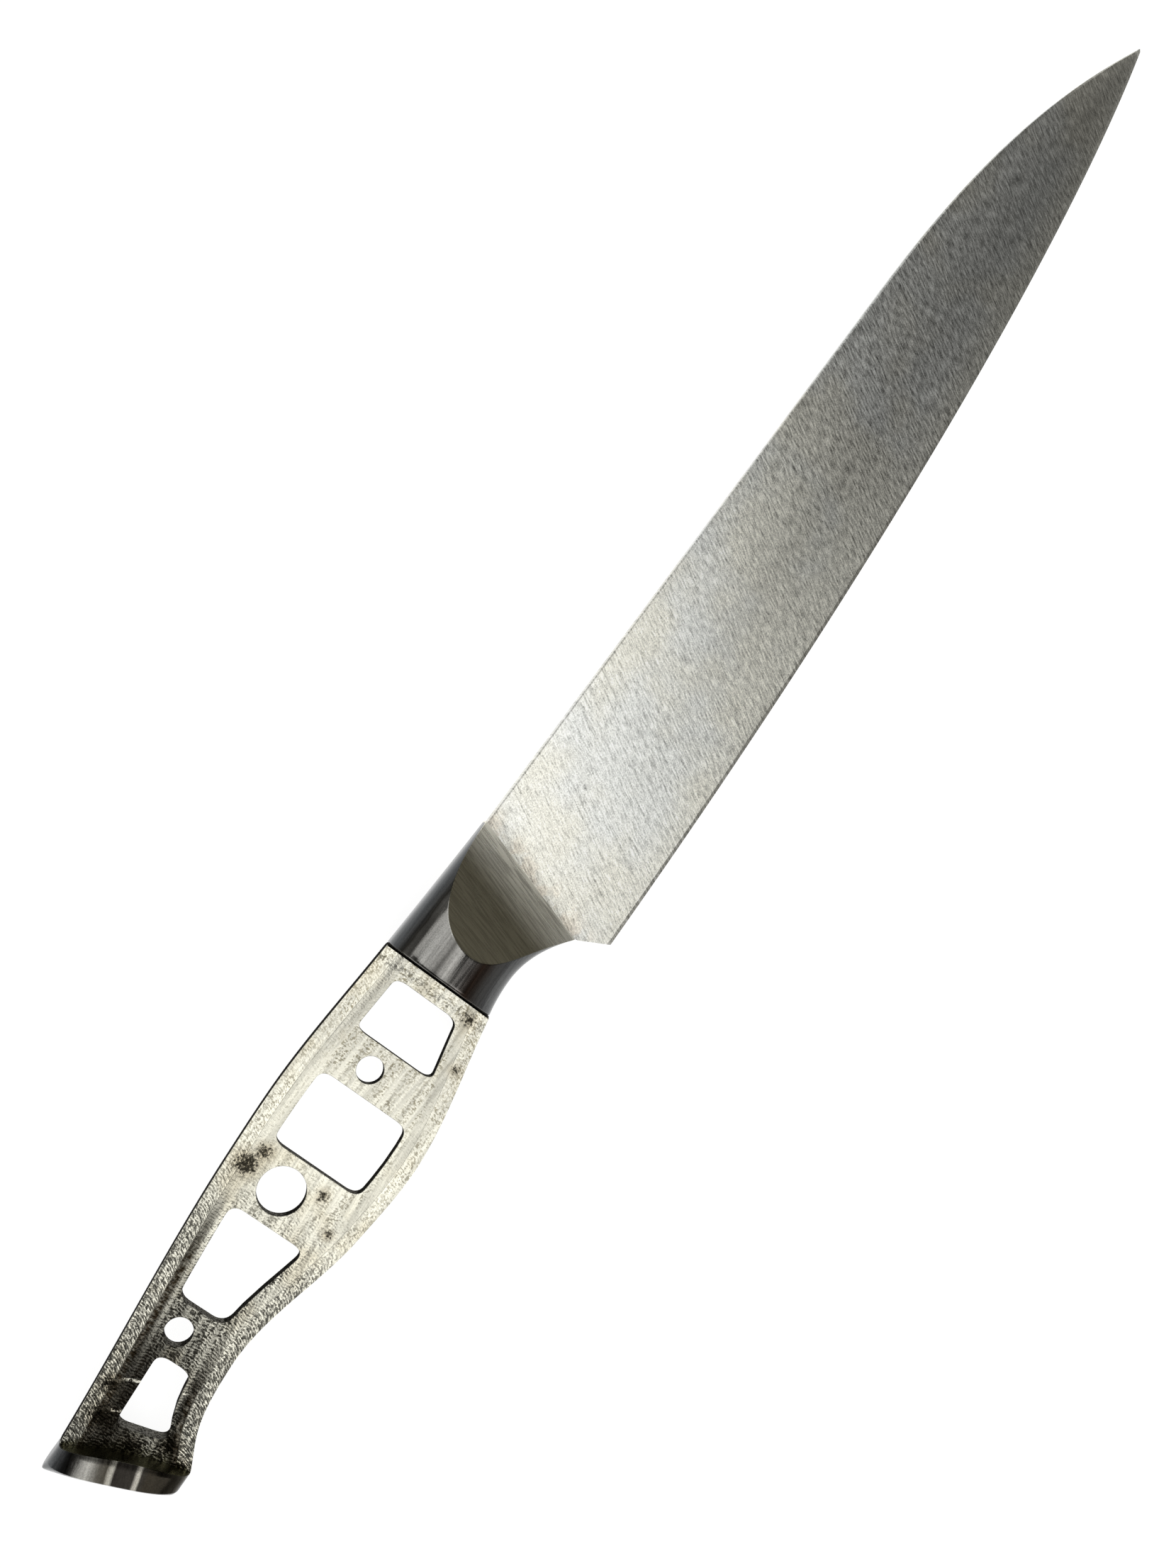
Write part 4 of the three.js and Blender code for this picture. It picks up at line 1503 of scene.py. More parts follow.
    def rear_rim(self, ring: np.ndarray) -> np.ndarray:
        """Rounds the rear corner over.

        Args:
            ring: the rearmost ring of the skin.

        Returns:
            Rings from the rear face out to the full section.
        """
        middle = np.array([0.0, self.crown_level, 0.0])
        pull = (ring - middle) / np.linalg.norm(ring - middle, axis=1)[:, None]
        rings = []
        for part in np.linspace(0.0, 1.0, self.rim_rows + 1)[:-1] * math.pi / 2:
            base = ring - pull * self.rear_round * (1.0 - math.sin(part))
            base[:, 0] = self.rear_round * (1.0 - math.cos(part))
            rings.append(base)
        return np.stack(rings)

    def skin(self) -> np.ndarray:
        """Lays rings of points from the rear face to the front line.

        Returns:
            One ring of x, y and z in each row.
        """
        turn = np.linspace(0.0, 2.0 * math.pi, self.turns, endpoint=False)
        behind = np.zeros(self.turns)
        front = self.seek(turn, behind, np.full(self.turns, self.seek_reach), False)
        crest = np.minimum(self.seek(turn, behind, front, True), front - self.ground_least)
        body_share = 1.0 - (1.0 - np.linspace(0.0, 1.0, self.body_rows)) ** self.body_crowding
        ground_share = np.linspace(0.0, 1.0, self.ground_rows)[1:] ** self.ground_crowding
        body = crest * body_share[:, None]
        x = np.concatenate([body, crest + (front - crest) * ground_share[:, None]])
        around = np.broadcast_to(turn, x.shape)
        y, z = self.body(x, around)
        cut = self.ramp(x, y) + self.blade.eased(x, y)
        gap = np.clip(self.crest_soft - np.abs(z - cut), 0.0, None)
        z = np.minimum(z, cut) - gap**2 / (4.0 * self.crest_soft)
        rings = np.stack([x, y, z * np.sign(np.sin(around))], axis=-1)
        kept = rings[1:][rings[1:][:, :, 0].min(axis=1) > self.rear_round]
        return np.concatenate([self.rear_rim(rings[0]), kept])

    def build(
        self, placement: Placement, steel: GroundSteel, finishes: dict[BolsterFace, bpy.types.Material]
    ) -> bpy.types.Object:
        """Makes the bolster.

        Args:
            placement: where the knife stands in the frame.
            steel: finish of the ground front, for its scratch directions.
            finishes: its materials.

        Returns:
            The finished piece.
        """
        draft = MeshDraft()
        grid = draft.add_points(self.skin())
        rows = np.arange(len(grid) - 1)
        ground = rows >= len(rows) - (self.ground_rows - 1)
        draft.add_grid(grid, wrap=True, finish=np.where(ground, BolsterFace.GROUND, BolsterFace.POLISHED))
        half = self.turns // 2
        for row, turned in ((grid[0], True), (grid[-1], False)):
            right = np.concatenate([row[:1], row[half:][::-1]])
            draft.add_ladder(row[: half + 1], right, turned, BolsterFace.END)
        piece = draft.build("bolster_round", placement, self.sharp)
        at = draft.all_points()
        mark(piece, "from_edge", np.full(len(at), self.off_edge))
        mark(piece, "from_front", at[:, 0] - self.blade.front_x(at[:, 1]))
        mark(piece, "share", np.zeros(len(at)))
        rise = at[:, 1] - self.crown_level
        reach = np.where(rise > 0.0, self.back(at[:, 0]), self.underside(at[:, 0])) - self.crown_level
        mark(piece, "across", rise / np.abs(reach))
        across, along = steel.directions()
        lay_grain(piece, across, along)
        settle(piece, "bolster", [finishes[face] for face in BolsterFace])
        return piece


# Butt cap


@dataclass
class ButtCap:
    """Oval collar behind a slanted, slightly crowned front face, closed by a dome at the rear."""

    height: float = 20.6
    front_thick: float = 10.2
    thick: float = 11.0
    collar: float = 2.65
    length: float = 4.9
    slant: float = 18.4
    bulge: float = 1.0
    level: float = -4.2
    crown_x: float = -86.5
    roundness: float = 3.2
    dome_roundness: float = 1.15
    corner_roundness: float = 16.0
    dome_sweep: float = 82.0
    dome_rows: int = 44
    collar_shares: Span = (0.5, 0.96)
    corner_share: float = 0.985
    face_shares: Span = (0.95, 0.05)
    face_rows: int = 18
    turns: int = 176
    sharp: float = 40.0

    def __post_init__(self) -> None:
        """Sets out the front face."""
        turn = math.radians(self.slant)
        self.along = np.array([-math.sin(turn), math.cos(turn)])
        self.out = np.array([self.along[1], -self.along[0]])
        self.crown = np.array([self.crown_x, self.level])
        self.middle = self.crown - self.bulge * self.out
        self.face_radius = ((self.height / 2) ** 2 + self.bulge**2) / (2 * self.bulge)
        self.axis = self.crown - self.face_radius * self.out

    def end(self, side: float) -> np.ndarray:
        """Front corner at the spine side, +1, or the belly side, -1."""
        return self.middle + self.along * (side * self.height / 2)

    def ahead(self, x: np.ndarray, y: np.ndarray) -> np.ndarray:
        """Distance of a place ahead of the front face."""
        return np.hypot(x - self.axis[0], y - self.axis[1]) - self.face_radius

    def half_thick(self, behind: float) -> float:
        """Half thickness at a distance behind the front edge.

        Args:
            behind: the distance.

        Returns:
            The half thickness.
        """
        flare = self.front_thick + (self.thick - self.front_thick) * min(1.0, max(0.0, behind / self.collar))
        closing = max(0.0, behind - self.collar) / (self.length - self.collar)
        return flare / 2 * (1.0 - closing**self.dome_roundness) ** (1.0 / self.dome_roundness)

    def face(self, flat: np.ndarray) -> np.ndarray:
        """Moves places along x until they lie on the front face.

        Args:
            flat: places, with x and y on the last axis.

        Returns:
            The moved places.
        """
        y = flat[..., 1]
        x = self.axis[0] + np.sqrt(self.face_radius**2 - (y - self.axis[1]) ** 2)
        return np.stack([x, y], axis=-1)

    def build(
        self, placement: Placement, finishes: dict[CapFace, bpy.types.Material]
    ) -> bpy.types.Object:
        """Makes the cap.

        Args:
            placement: where the knife stands in the frame.
            finishes: its materials.

        Returns:
            The finished piece.
        """
        turn = np.linspace(0.0, 2.0 * math.pi, self.turns, endpoint=False)
        side = np.sign(np.cos(turn)) * np.abs(np.cos(turn)) ** (2.0 / self.roundness)
        rise = np.sign(np.sin(turn)) * np.abs(np.sin(turn)) ** (2.0 / self.roundness)
        rows = []
        edge = self.collar / self.length
        sweep = np.radians(np.linspace(self.dome_sweep, 0.0, self.dome_rows))
        shares = np.concatenate([np.sin(sweep), [edge]])
        for share in np.sort(shares)[::-1].tolist():
            high = self.height / 2 * (1 - share**self.corner_roundness) ** (1 / self.corner_roundness)
            centre = self.middle + np.array([-self.length * share, 0.0])
            flat = centre + np.outer(side * high, self.along)
            rows.append(np.column_stack([flat, self.half_thick(self.length * share) * rise]))
        rim = rows[-1].copy()
        lead = self.face(rim[:, :2])
        for share in self.collar_shares:
            flat = rim[:, :2] + (lead - rim[:, :2]) * share
            rows.append(np.column_stack([flat, rim[:, 2]]))
        draft = MeshDraft()
        grid = draft.add_points(np.stack(rows))
        draft.add_grid(grid, wrap=True)
        draft.add_faces(grid[0][None, ::-1])
        face = []
        for share in np.concatenate([[self.corner_share], np.linspace(*self.face_shares, self.face_rows)]):
            flat = self.middle + (rim[:, :2] - self.middle) * share
            face.append(np.column_stack([self.face(flat), rim[:, 2] * share]))
        wall_grid = draft.add_points(np.stack(face))
        draft.add_grid(np.stack([grid[-1], wall_grid[0]]), wrap=True)
        draft.add_grid(wall_grid, wrap=True, finish=CapFace.FRONT)
        draft.add_faces(wall_grid[-1][None, :], CapFace.FRONT)
        piece = draft.build("butt_cap_dome", placement, self.sharp)
        at = draft.all_points()
        mark(piece, "across", (at[:, :2] - self.crown) @ self.along)
        settle(piece, "butt_cap", [finishes[face] for face in CapFace])
        return piece


# Tang


@dataclass
class Tang:
    """Flat frame with raised rims, windows between webs and a pin hole through each web."""

    cap: ButtCap
    front_height: float = 21.1
    windows: tuple[Span, ...] = ((3.8, 10.3), (22.6, 13.4), (47.5, 16.2), (72.1, 12.1))
    thick: float = 2.8
    pocket: float = 0.26
    rim: float = 2.4
    hollow: float = 1.7
    ledge: float = 0.6
    last_ledges: Span = (2.4, 1.7)
    window_corner: float = 2.4
    window_points: int = 5
    swell_at: float = 29.3
    back_swell: float = 11.6
    back_at_pin: float = 10.9
    belly_swell: float = 15.5
    belly_at_pin: float = 14.4
    waist: float = 9.6
    belly_at_last: float = 11.2
    pins: tuple[Span, ...] = ((18.35, 4.6), (41.75, 8.0), (67.9, 4.6))
    pin_facets: tuple[int, ...] = (56, 88, 56)
    pin_level: float = 0.45
    lift: float = 0.12
    lifts: Span = (10.7, 5.9)
    lift_length: float = 0.25
    lift_fade: Span = (0.05, 0.5)
    slope_mix: Span = (0.7, 0.3)
    fillet: float = 1.1
    shoulder: float = 0.24
    pass_width: float = 2.9
    cusp: float = 0.03
    cusp_power: int = 5
    cusp_fade: Span = (0.7, 1.0)
    groove: float = 0.5
    groove_lip: float = 0.3
    groove_depth: float = 0.95
    edge_break: float = 0.05
    slope_reach: float = 0.2
    line_samples: int = 80
    corner_samples: int = 12
    outline_samples: int = 1200
    rear_limit: float = -95.0
    seat_samples: int = 60
    seat_gap: float = 0.01
    wall_step: float = 0.4
    row_step: float = 0.36
    column_step: float = 0.45
    column_run: Span = (-0.3, -88.0)
    floor_reach: float = 24.0
    rim_lines: tuple[float, ...] = (0.45, 0.85, 1.25, 1.65, 2.05)
    slope_lines: tuple[float, ...] = (0.0, 0.06, 0.2, 0.45, 0.8, 1.2, 1.7)
    cap_lines: tuple[float, ...] = (0.02, 0.1, 0.25, 0.45, 0.75, 1.1, 5.65, 5.9, 10.45, 10.7)
    cap_levels: Span = (-16.0, 9.0)
    cap_samples: int = 64
    groove_lines: tuple[float, ...] = (-0.15, -0.32, -0.5)
    groove_half: float = 10.3
    groove_samples: int = 60
    clearance: float = 0.17
    merge: float = 1e-5
    sharp: float = 24.0

    def __post_init__(self) -> None:
        """Draws the back and belly lines."""
        top = self.cap.end(1.0)
        low = self.cap.end(-1.0)
        half = self.front_height / 2
        reach = self.cap.length
        last = self.windows[-1][0] + self.windows[-1][1] / 2
        self.back_line = flowing(
            [
                (0.0, half),
                (-self.swell_at, self.back_swell),
                (-self.pins[1][0], self.back_at_pin),
                (top[0], top[1]),
                (top[0] - 2 * reach, top[1] - reach / 5),
            ],
            self.line_samples,
        )[::-1]
        self.belly_line = flowing(
            [
                (0.0, -half),
                (-self.swell_at, -self.belly_swell),
                (-self.pins[1][0], -self.belly_at_pin),
                (-self.pins[2][0], -self.waist),
                (-last, -self.belly_at_last),
                (low[0], low[1]),
                (low[0] - 2 * reach, low[1] - reach),
            ],
            self.line_samples,
        )[::-1]

    def back(self, x: np.ndarray) -> np.ndarray:
        """Height of the back of the tang."""
        return np.interp(x, self.back_line[:, 0], self.back_line[:, 1])

    def belly(self, x: np.ndarray) -> np.ndarray:
        """Height of the belly of the tang."""
        return np.interp(x, self.belly_line[:, 0], self.belly_line[:, 1])

    def stretch(self, height: Callable[[np.ndarray], np.ndarray], x: np.ndarray) -> np.ndarray:
        """How much longer than its run along x a line is.

        Args:
            height: the line's height by place.
            x: places along the tang.

        Returns:
            The ratio at each place.
        """
        reach = self.slope_reach
        return np.hypot(1.0, (height(x + reach) - height(x - reach)) / (2 * reach))

    def sides(self, x: np.ndarray, y: np.ndarray) -> tuple[np.ndarray, np.ndarray]:
        """Distances square to the back and to the belly."""
        back = (self.back(x) - y) / self.stretch(self.back, x)
        return back, (y - self.belly(x)) / self.stretch(self.belly, x)

    def rounded(self, corners: list[Triple]) -> np.ndarray:
        """Joins points into a loop with eased corners.

        Args:
            corners: x, y and the distance over which each corner is eased.

        Returns:
            Rows of x and y round the loop.
        """
        at = np.array([corner[:2] for corner in corners])
        rows = []
        for i, (_, _, ease) in enumerate(corners):
            here = at[i]
            before = at[i - 1]
            after = at[(i + 1) % len(at)]
            if ease == 0.0:
                rows.append(here[None, :])
                continue
            enter = here + (before - here) * min(0.5, ease / np.linalg.norm(before - here))
            leave = here + (after - here) * min(0.5, ease / np.linalg.norm(after - here))
            rows.append(bezier([tuple(enter), tuple(here), tuple(leave)], self.corner_samples))
        return np.concatenate(rows)

    def window(self, number: int) -> np.ndarray:
        """Outline of a window, counted from the bolster back.

        Args:
            number: number of the window, from 0.

        Returns:
            Rows of x and y round the window.
        """
        front, span = self.windows[number]
        last = number == len(self.windows) - 1
        lean = -math.tan(math.radians(self.cap.slant)) * (self.belly_swell - self.waist) if last else 0.0
        ledges = self.last_ledges if last else (self.ledge, self.ledge)
        inset = self.rim + self.hollow
        upper = []
        lower = []
        for share in np.linspace(0.0, 1.0, self.window_points).tolist():
            x = -(front + span * share)
            low = -(front + (span + lean) * share)
            ease = self.window_corner if share in (0.0, 1.0) else 0.0
            ledge = ledges[0] + (ledges[1] - ledges[0]) * share
            upper.append((x, float(self.back(x)) - inset - ledge, ease))
            lower.insert(0, (low, float(self.belly(low)) + inset + self.ledge, ease))
        return self.rounded(upper + lower)

    def outer(self) -> np.ndarray:
        """Outline of the whole tang, from the bolster's rear face to the cap's front face.

        Returns:
            Rows of x and y round the tang.
        """
        x = np.linspace(0.0, self.rear_limit, self.outline_samples)
        back = np.column_stack([x, self.back(x)])
        belly = np.column_stack([x, self.belly(x)])
        back = back[self.cap.ahead(back[:, 0], back[:, 1]) > 0.0]
        belly = belly[self.cap.ahead(belly[:, 0], belly[:, 1]) > 0.0]
        seat = np.linspace(back[-1, 1], belly[-1, 1], self.seat_samples)[1:-1]
        rear = self.cap.face(np.column_stack([seat, seat])) + np.array([self.seat_gap, 0.0])
        return np.concatenate([back, rear, belly[::-1]])

    def level(self, x: np.ndarray, y: np.ndarray) -> np.ndarray:
        """Distance of the milled face from the middle plane.

        Args:
            x: places along the tang.
            y: heights.

        Returns:
            The distances.
        """
        back, belly = self.sides(x, y)
        near = np.minimum(back, belly)
        floor = self.thick / 2 - self.pocket
        part = np.clip((near - self.rim) / self.hollow, 0.0, 1.0)
        straight, eased = self.slope_mix
        z = floor + self.pocket * (1.0 - straight * part - eased * smooth(part, 0.0, 1.0))
        turns = (back - self.rim - self.hollow) / self.pass_width
        ridge = np.abs(2.0 * (turns - np.floor(turns)) - 1.0) ** self.cusp_power
        z = z + self.cusp * ridge * smooth(part, *self.cusp_fade)
        ahead = self.cap.ahead(x, y)
        for start in self.lifts:
            raised = self.lift * smooth(start - ahead, 0.0, self.lift_length)
            z = z + raised * smooth(part, *self.lift_fade)
        foot = np.clip(ahead / self.fillet, 0.0, 1.0)
        wall = floor + self.shoulder * (1.0 - np.sqrt(1.0 - (1.0 - foot) ** 2))
        z = np.where(ahead < self.fillet, np.maximum(z, wall), z)
        return z - self.groove_depth * smooth(x, -self.groove, -self.groove * self.groove_lip)

    def inset(self, loop: np.ndarray, distance: float) -> np.ndarray:
        """Moves a loop's points square to it; a plus distance goes to the left of its run.

        Args:
            loop: rows of x and y.
            distance: how far they move.

        Returns:
            The moved rows.
        """
        ahead = np.roll(loop, -1, axis=0) - np.roll(loop, 1, axis=0)
        length = np.linalg.norm(ahead, axis=1)[:, None]
        return loop + np.stack([-ahead[:, 1], ahead[:, 0]], axis=1) / np.maximum(length, TINY) * distance

    def holes(self) -> list[np.ndarray]:
        """Outlines of the windows and of the pin holes, in even steps.

        Returns:
            One loop for each opening.
        """
        loops = [self.window(number) for number in range(len(self.windows))]
        loops = [spaced(np.concatenate([loop, loop[:1]]), self.wall_step)[:-1] for loop in loops]
        for (distance, size), facets in zip(self.pins, self.pin_facets):
            turn = np.linspace(0.0, 2.0 * math.pi, facets, endpoint=False)
            round_hole = np.column_stack([np.cos(turn), -np.sin(turn)]) * size / 2
            loops.append(round_hole + np.array([-distance, self.pin_level]))
        return loops

    def walls(self, outer: np.ndarray, holes: list[np.ndarray]) -> list[np.ndarray]:
        """Closed lines along the walls: each outline, and the inner line of its broken edge.

        Args:
            outer: outline of the tang.
            holes: outlines of the openings.

        Returns:
            The lines.
        """
        lines = []
        for loop in (outer, *holes):
            after = np.roll(loop, -1, axis=0)
            area = float(np.sum(loop[:, 0] * after[:, 1] - after[:, 0] * loop[:, 1]))
            inward = self.edge_break if (area > 0) == (loop is outer) else -self.edge_break
            lines.extend([loop, self.inset(loop, inward)])
        return lines

    def guides(self, run: np.ndarray) -> list[np.ndarray]:
        """Open lines that the triangles follow: the rim's slope, the steps before the cap and the seam.

        Args:
            run: places along the tang.

        Returns:
            The lines.
        """
        lines = []
        for depth in self.slope_lines:
            drawn = self.rim + depth
            lines.append(np.column_stack([run, self.back(run) - drawn * self.stretch(self.back, run)]))
            lines.append(np.column_stack([run, self.belly(run) + drawn * self.stretch(self.belly, run)]))
        rise = np.linspace(*self.cap_levels, self.cap_samples)
        for ahead in self.cap_lines:
            radius = self.cap.face_radius + ahead
            x = self.cap.axis[0] + np.sqrt(radius**2 - (rise - self.cap.axis[1]) ** 2)
            lines.append(np.column_stack([x, rise]))
        level = np.linspace(-self.groove_half, self.groove_half, self.groove_samples)
        for x in self.groove_lines:
            lines.append(np.column_stack([np.full(self.groove_samples, x), level]))
        return lines

    def filling(self, run: np.ndarray, outer: np.ndarray, fixed: np.ndarray) -> np.ndarray:
        """Lays points over the rim and the floor, clear of the lines.

        Args:
            run: places along the tang.
            outer: outline of the tang.
            fixed: points of the lines.

        Returns:
            Rows of x and y.
        """
        taken = KDTree(len(fixed))
        for number, (x, y) in enumerate(fixed):
            taken.insert((x, y, 0.0), number)
        taken.balance()
        depths = np.arange(self.rim + self.hollow + self.row_step, self.floor_reach, self.row_step)
        rows = [np.column_stack([run, self.back(run) - depth]) for depth in depths]
        for depth in self.rim_lines:
            rows.append(np.column_stack([run, self.back(run) - depth]))
            rows.append(np.column_stack([run, self.belly(run) + depth]))
        free = np.concatenate(rows)
        free = free[inside(free, outer)]
        return np.array([spot for spot in free if taken.find((*spot, 0.0))[2] > self.clearance])

    def plan(self) -> tuple[np.ndarray, np.ndarray, np.ndarray]:
        """Lays points over the tang and joins them into triangles.

        Returns:
            Points, triangles, and the edges along the walls as pairs of points.
        """
        outline = self.outer()
        outer = spaced(np.concatenate([outline, outline[:1]]), self.wall_step)[:-1]
        holes = self.holes()
        run = np.arange(*self.column_run, -self.column_step)
        lines = [(line, True) for line in self.walls(outer, holes)]
        lines += [(line, False) for line in self.guides(run)]
        edges = []
        count = 0
        for line, closed in lines:
            size = len(line)
            keep = np.ones(size, bool) if closed else inside(line, outer)
            for i in range(size if closed else size - 1):
                j = (i + 1) % size
                if keep[i] and keep[j]:
                    edges.append((count + i, count + j))
            count += size
        fixed = np.concatenate([line for line, _ in lines])
        spots = np.concatenate([fixed, self.filling(run, outer, fixed)])
        out = delaunay_2d_cdt([Vector(spot) for spot in spots], edges, [], 0, self.merge)
        points = np.array([(spot.x, spot.y) for spot in out[0]])
        triangles = np.array(out[2])
        middle = points[triangles].mean(axis=1)
        keep = inside(middle, outer)
        for hole in holes:
            keep &= ~inside(middle, hole)
        triangles = triangles[keep]
        sides = np.concatenate([triangles[:, [0, 1]], triangles[:, [1, 2]], triangles[:, [2, 0]]])
        keys = np.sort(sides, axis=1) @ np.array([len(points), 1])
        _, index, times = np.unique(keys, return_index=True, return_counts=True)
        return points, triangles, sides[index[times == 1]]

    def build(
        self, placement: Placement, finishes: dict[TangFace, bpy.types.Material]
    ) -> bpy.types.Object:
        """Makes the tang.

        Args:
            placement: where the knife stands in the frame.
            finishes: its materials; the cut one also covers the seam beside the bolster.

        Returns:
            The finished piece.
        """
        points, triangles, border = self.plan()
        used = np.unique(triangles)
        renumber = np.full(len(points), -1)
        renumber[used] = np.arange(len(used))
        points = points[used]
        triangles = renumber[triangles]
        border = renumber[border]
        z = self.level(points[:, 0], points[:, 1])
        on_wall = np.zeros(len(points), bool)
        on_wall[border.reshape(-1)] = True
        z = z - self.edge_break * on_wall
        draft = MeshDraft()
        upper = draft.add_points(np.column_stack([points, z]))
        lower = draft.add_points(np.column_stack([points, -z]))
        in_seam = points[triangles][:, :, 0].mean(axis=1) > -self.groove
        finish = np.where(in_seam, TangFace.CUT, TangFace.MILLED)
        draft.add_faces(upper[triangles], finish)
        draft.add_faces(lower[triangles][:, ::-1], finish)
        first, second = border.T
        walls = np.stack([upper[second], upper[first], lower[first], lower[second]], axis=1)
        draft.add_faces(walls, TangFace.CUT)
        piece = draft.build("tang_milled", placement, self.sharp)
        at = draft.all_points()
        back, belly = self.sides(at[:, 0], at[:, 1])
        mark(piece, "along", at[:, 0])
        mark(piece, "from_back", back)
        mark(piece, "from_side", np.minimum(back, belly))
        mark(piece, "ahead", self.cap.ahead(at[:, 0], at[:, 1]))
        settle(piece, "tang", [finishes[face] for face in TangFace])
        return piece


# Studio


@dataclass(frozen=True)
class Panel:
    """Soft light panel that faces straight down."""

    name: str
    low: Span
    high: Span
    radiance: float
    height: float = 0.8

    def hang(self) -> None:
        """Hangs the panel over the knife; places are in the frame, in metres."""
        lamp = bpy.data.lights.new(self.name, "AREA")
        lamp.shape = "RECTANGLE"
        lamp.size = self.high[0] - self.low[0]
        lamp.size_y = self.high[1] - self.low[1]
        lamp.energy = self.radiance * math.pi * lamp.size * lamp.size_y
        panel = bpy.data.objects.new(self.name, lamp)
        middle = [(low + high) / 2 for low, high in zip(self.low, self.high)]
        panel.location = (*middle, self.height)
        bpy.context.scene.collection.objects.link(panel)


@dataclass
class Studio:
    """Pale floor, soft light from above and the camera."""

    panels: tuple[Panel, ...] = (
        Panel("panel_handle", (-0.38, -0.31), (-0.075, -0.01), 1.3),
        Panel("panel_butt", (-0.48, -0.31), (-0.38, -0.165), 1.3),
        Panel("panel_heel", (-0.075, -0.31), (0.14, -0.01), 2.0),
        Panel("panel_point", (0.14, -0.2), (0.3, -0.01), 2.0),
        Panel("panel_strip", (-0.07, 0.0), (0.3, 0.78), 1.0),
        Panel("panel_rear", (-0.34, 0.0), (-0.07, 0.3), 1.1),
        Panel("panel_side", (-0.34, -0.75), (-0.09, -0.31), 1.2),
    )
    floor_reach: float = 8.0
    floor_drop: float = 0.2
    eye: Triple = (1.923, 38.762, 225.168)
    right: Triple = (0.58098, -0.77785, 0.23960)
    up: Triple = (0.79573, 0.60471, 0.03367)
    back: Triple = (-0.17108, 0.17109, 0.97029)
    focal_pixels: float = 1900.0
    picture_height: float = 2212.0
    sensor_height: float = 36.0
    nearest: float = 0.01
    sky: Stops = (
        (0.0, colour(0.55, 0.55, 0.55)),
        (0.30, colour(0.55, 0.55, 0.55)),
        (0.45, colour(0.38, 0.375, 0.365)),
        (0.62, colour(0.17, 0.167, 0.16)),
        (0.82, colour(0.06, 0.058, 0.054)),
        (1.0, colour(0.1, 0.098, 0.093)),
    )

    def lay_floor(self) -> None:
        """Lays the floor just under the knife."""
        reach = self.floor_reach
        corners = [(-reach, -reach), (reach, -reach), (reach, reach), (-reach, reach)]
        mesh = bpy.data.meshes.new("floor")
        mesh.from_pydata([(x, y, -self.floor_drop * MM) for x, y in corners], [], [(0, 1, 2, 3)])
        floor = bpy.data.objects.new("floor", mesh)
        bpy.context.scene.collection.objects.link(floor)
        mesh.materials.append(FloorPaint().make())

    def hang_sky(self) -> None:
        """Surrounds the floor with a pale low band under a dim ceiling."""
        world = bpy.data.worlds.new("studio")
        world.use_nodes = True
        tree = world.node_tree
        tree.nodes.clear()
        place = tree.nodes.new("ShaderNodeTexCoord")
        split = tree.nodes.new("ShaderNodeSeparateXYZ")
        ramp = tree.nodes.new("ShaderNodeValToRGB")
        ground = tree.nodes.new("ShaderNodeBackground")
        out = tree.nodes.new("ShaderNodeOutputWorld")
        stops = ramp.color_ramp.elements
        while len(stops) < len(self.sky):
            stops.new(0.5)
        for stop, (at, tint) in zip(stops, self.sky):
            stop.position = at
            stop.color = tint
        tree.links.new(place.outputs["Generated"], split.inputs[0])
        tree.links.new(split.outputs["Z"], ramp.inputs[0])
        tree.links.new(ramp.outputs[0], ground.inputs["Color"])
        tree.links.new(ground.outputs[0], out.inputs["Surface"])
        bpy.context.scene.world = world

    def set_camera(self, placement: Placement) -> None:
        """Stands the camera where the photograph was taken.

        Args:
            placement: where the knife stands in the frame.
        """
        lens = bpy.data.cameras.new("camera")
        lens.sensor_fit = "VERTICAL"
        lens.sensor_height = self.sensor_height
        lens.lens = self.focal_pixels / self.picture_height * lens.sensor_height
        lens.clip_start = self.nearest
        camera = bpy.data.objects.new("camera", lens)
        turn = Matrix((self.right, self.up, self.back)).transposed()
        stand = Matrix.Translation(Vector(placement.place(np.array(self.eye))))
        camera.matrix_world = stand @ turn.to_4x4()
        bpy.context.scene.collection.objects.link(camera)
        bpy.context.scene.camera = camera

    def build(self, placement: Placement) -> None:
        """Sets up floor, light and camera.

        Args:
            placement: where the knife stands in the frame.
        """
        bpy.context.scene.view_settings.view_transform = "Standard"
        self.lay_floor()
        self.hang_sky()
        for panel in self.panels:
            panel.hang()
        self.set_camera(placement)


# Painted reflections on the polished steel, as bands: place across the round, from the underside to the back,
# and its tint
BOLSTER_REFLECTIONS = (
    (-1.0, colour(0.11, 0.113, 0.113)),
    (-0.79, colour(0.092, 0.093, 0.092)),
    (-0.63, colour(0.09, 0.086, 0.082)),
    (-0.47, colour(0.085, 0.055, 0.041)),
    (-0.31, colour(0.29, 0.275, 0.26)),
    (-0.19, colour(0.155, 0.15, 0.14)),
    (-0.07, colour(0.25, 0.245, 0.23)),
    (0.07, colour(0.07, 0.068, 0.063)),
    (0.24, colour(0.26, 0.255, 0.24)),
    (0.42, colour(0.35, 0.345, 0.325)),
    (0.59, colour(0.36, 0.352, 0.33)),
    (0.76, colour(0.034, 0.032, 0.027)),
    (0.9, colour(0.06, 0.063, 0.065)),
    (1.0, colour(0.09, 0.096, 0.1)),
)
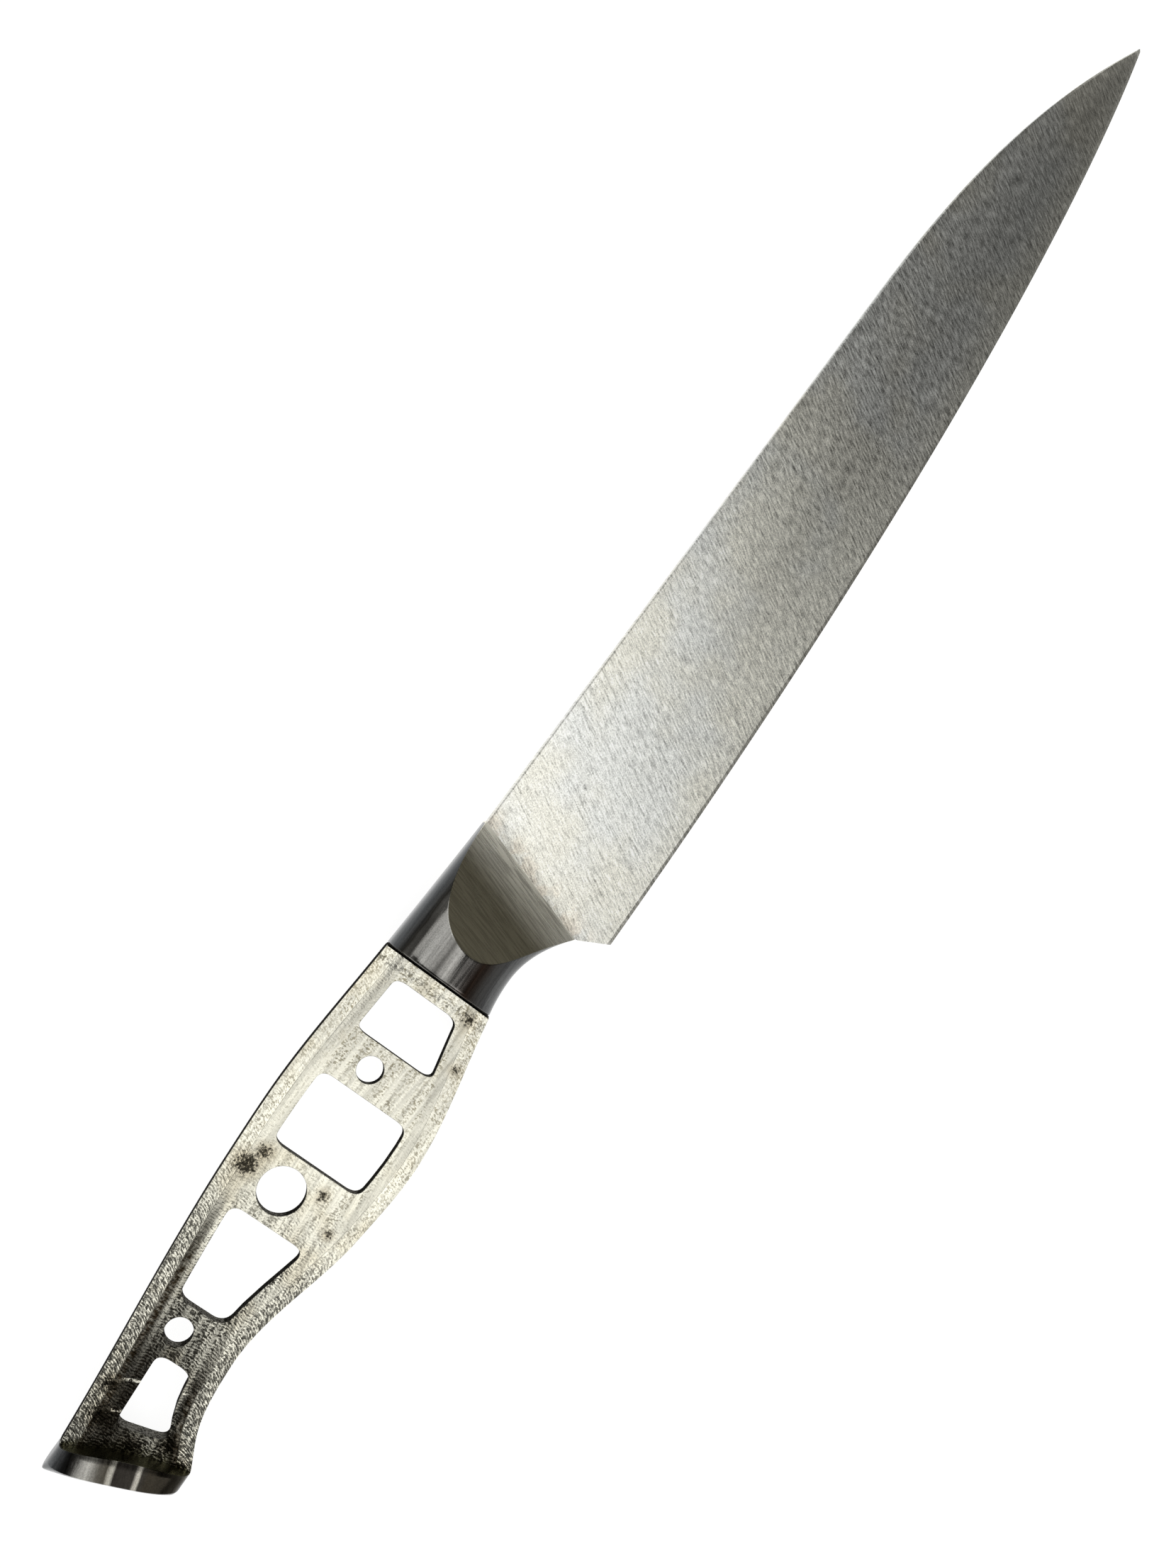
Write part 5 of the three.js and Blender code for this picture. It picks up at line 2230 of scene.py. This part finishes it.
# The same painted reflections on the cap, in millimetres along its front
CAP_REFLECTIONS = (
    (-10.5, colour(0.05, 0.045, 0.035)),
    (-4.0, colour(0.035, 0.03, 0.022)),
    (-3.0, colour(0.035, 0.032, 0.027)),
    (-2.7, colour(0.4, 0.38, 0.33)),
    (-2.3, colour(0.34, 0.32, 0.28)),
    (-1.9, colour(0.03, 0.027, 0.023)),
    (1.0, colour(0.025, 0.022, 0.019)),
    (1.4, colour(0.4, 0.385, 0.335)),
    (1.8, colour(0.3, 0.285, 0.245)),
    (2.2, colour(0.06, 0.054, 0.042)),
    (3.4, colour(0.1, 0.093, 0.078)),
    (5.2, colour(0.42, 0.41, 0.375)),
    (6.9, colour(0.22, 0.214, 0.198)),
    (8.0, colour(0.022, 0.021, 0.019)),
    (8.9, colour(0.06, 0.062, 0.064)),
    (11.8, colour(0.1, 0.105, 0.108)),
)
# Dirty places on the tang: x, y, reach and depth in the knife's own millimetres
TANG_SMUDGES = (
    (-41.3, 7.8, 4.4, 1.0),
    (-38.2, 6.6, 3.0, 0.9),
    (-38.7, -5.4, 2.4, 0.85),
    (-43.4, -9.9, 1.8, 0.9),
    (-2.5, -8.0, 3.0, 0.85),
    (-10.5, -11.2, 2.4, 0.75),
    (-84.0, 2.6, 4.2, 1.0),
    (-79.5, 4.4, 3.0, 0.9),
    (-85.5, -4.0, 3.0, 0.95),
    (-82.5, -9.0, 3.4, 1.0),
    (-84.5, -12.5, 3.0, 0.9),
)


def main() -> None:
    """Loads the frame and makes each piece."""
    logging.basicConfig(level=logging.INFO, format="%(name)s: %(message)s")
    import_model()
    blade = Blade()
    bolster = Bolster(blade)
    cap = ButtCap()
    tang = Tang(cap)
    low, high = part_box("bolster")
    placement = Placement.over(low, high, bolster.height)
    Studio().build(placement)
    steel = GroundSteel("blade_satin", colour(0.735, 0.745, 0.712), colour(0.76, 0.75, 0.67), contrast=0.95)
    ramp_steel = GroundSteel(
        "bolster_ground",
        colour(0.92, 0.9, 0.79),
        colour(0.9, 0.875, 0.75),
        roughness=0.28,
        anisotropy=0.4,
        lean=blade.front_slant,
        contrast=0.06,
        relief=0.002,
        border_warmth=0.0,
        hair_rate=0.16,
    )
    polish = PolishedSteel("bolster_polish", BOLSTER_REFLECTIONS, (1.0, 0.0, 0.0), waver=0.06)
    ends = CutSteel("bolster_ends", colour(0.2, 0.195, 0.18), roughness=0.4)
    cap_axis = (float(cap.out[0]), float(cap.out[1]), 0.0)
    dome = PolishedSteel("cap_polish", CAP_REFLECTIONS, cap_axis, waver=0.5, roughness=0.2)
    front = CutSteel(
        "cap_wall", colour(0.055, 0.052, 0.034), roughness=0.3, edge=colour(0.8, 0.8, 0.7), mottle=0.2
    )
    shift = placement.offset
    milled = MilledSteel(
        "tang_milled_bright",
        bright=colour(0.8, 0.78, 0.665),
        grime=colour(0.28, 0.258, 0.19),
        rim=tang.rim,
        hollow=tang.hollow,
        pass_width=tang.pass_width,
        lifts=tang.lifts,
        smudges=tuple(
            Smudge((x + shift[0], y + shift[1]), reach, depth) for x, y, reach, depth in TANG_SMUDGES
        ),
    )
    # The tang's walls are painted near-black, a painted shade, and lighter where they look along +x, a
    # painted lit side
    cut = CutSteel("tang_walls_painted_shade", colour(0.05, 0.048, 0.043), front=colour(0.17, 0.165, 0.15))
    blade.build(placement, steel, steel.make())
    bolster.build(
        placement,
        ramp_steel,
        {
            BolsterFace.POLISHED: polish.make(),
            BolsterFace.GROUND: ramp_steel.make(),
            BolsterFace.END: ends.make(),
        },
    )
    cap.build(placement, {CapFace.DOME: dome.make(), CapFace.FRONT: front.make()})
    tang.build(placement, {TangFace.MILLED: milled.make(), TangFace.CUT: cut.make()})


if __name__ == "__main__":
    main()
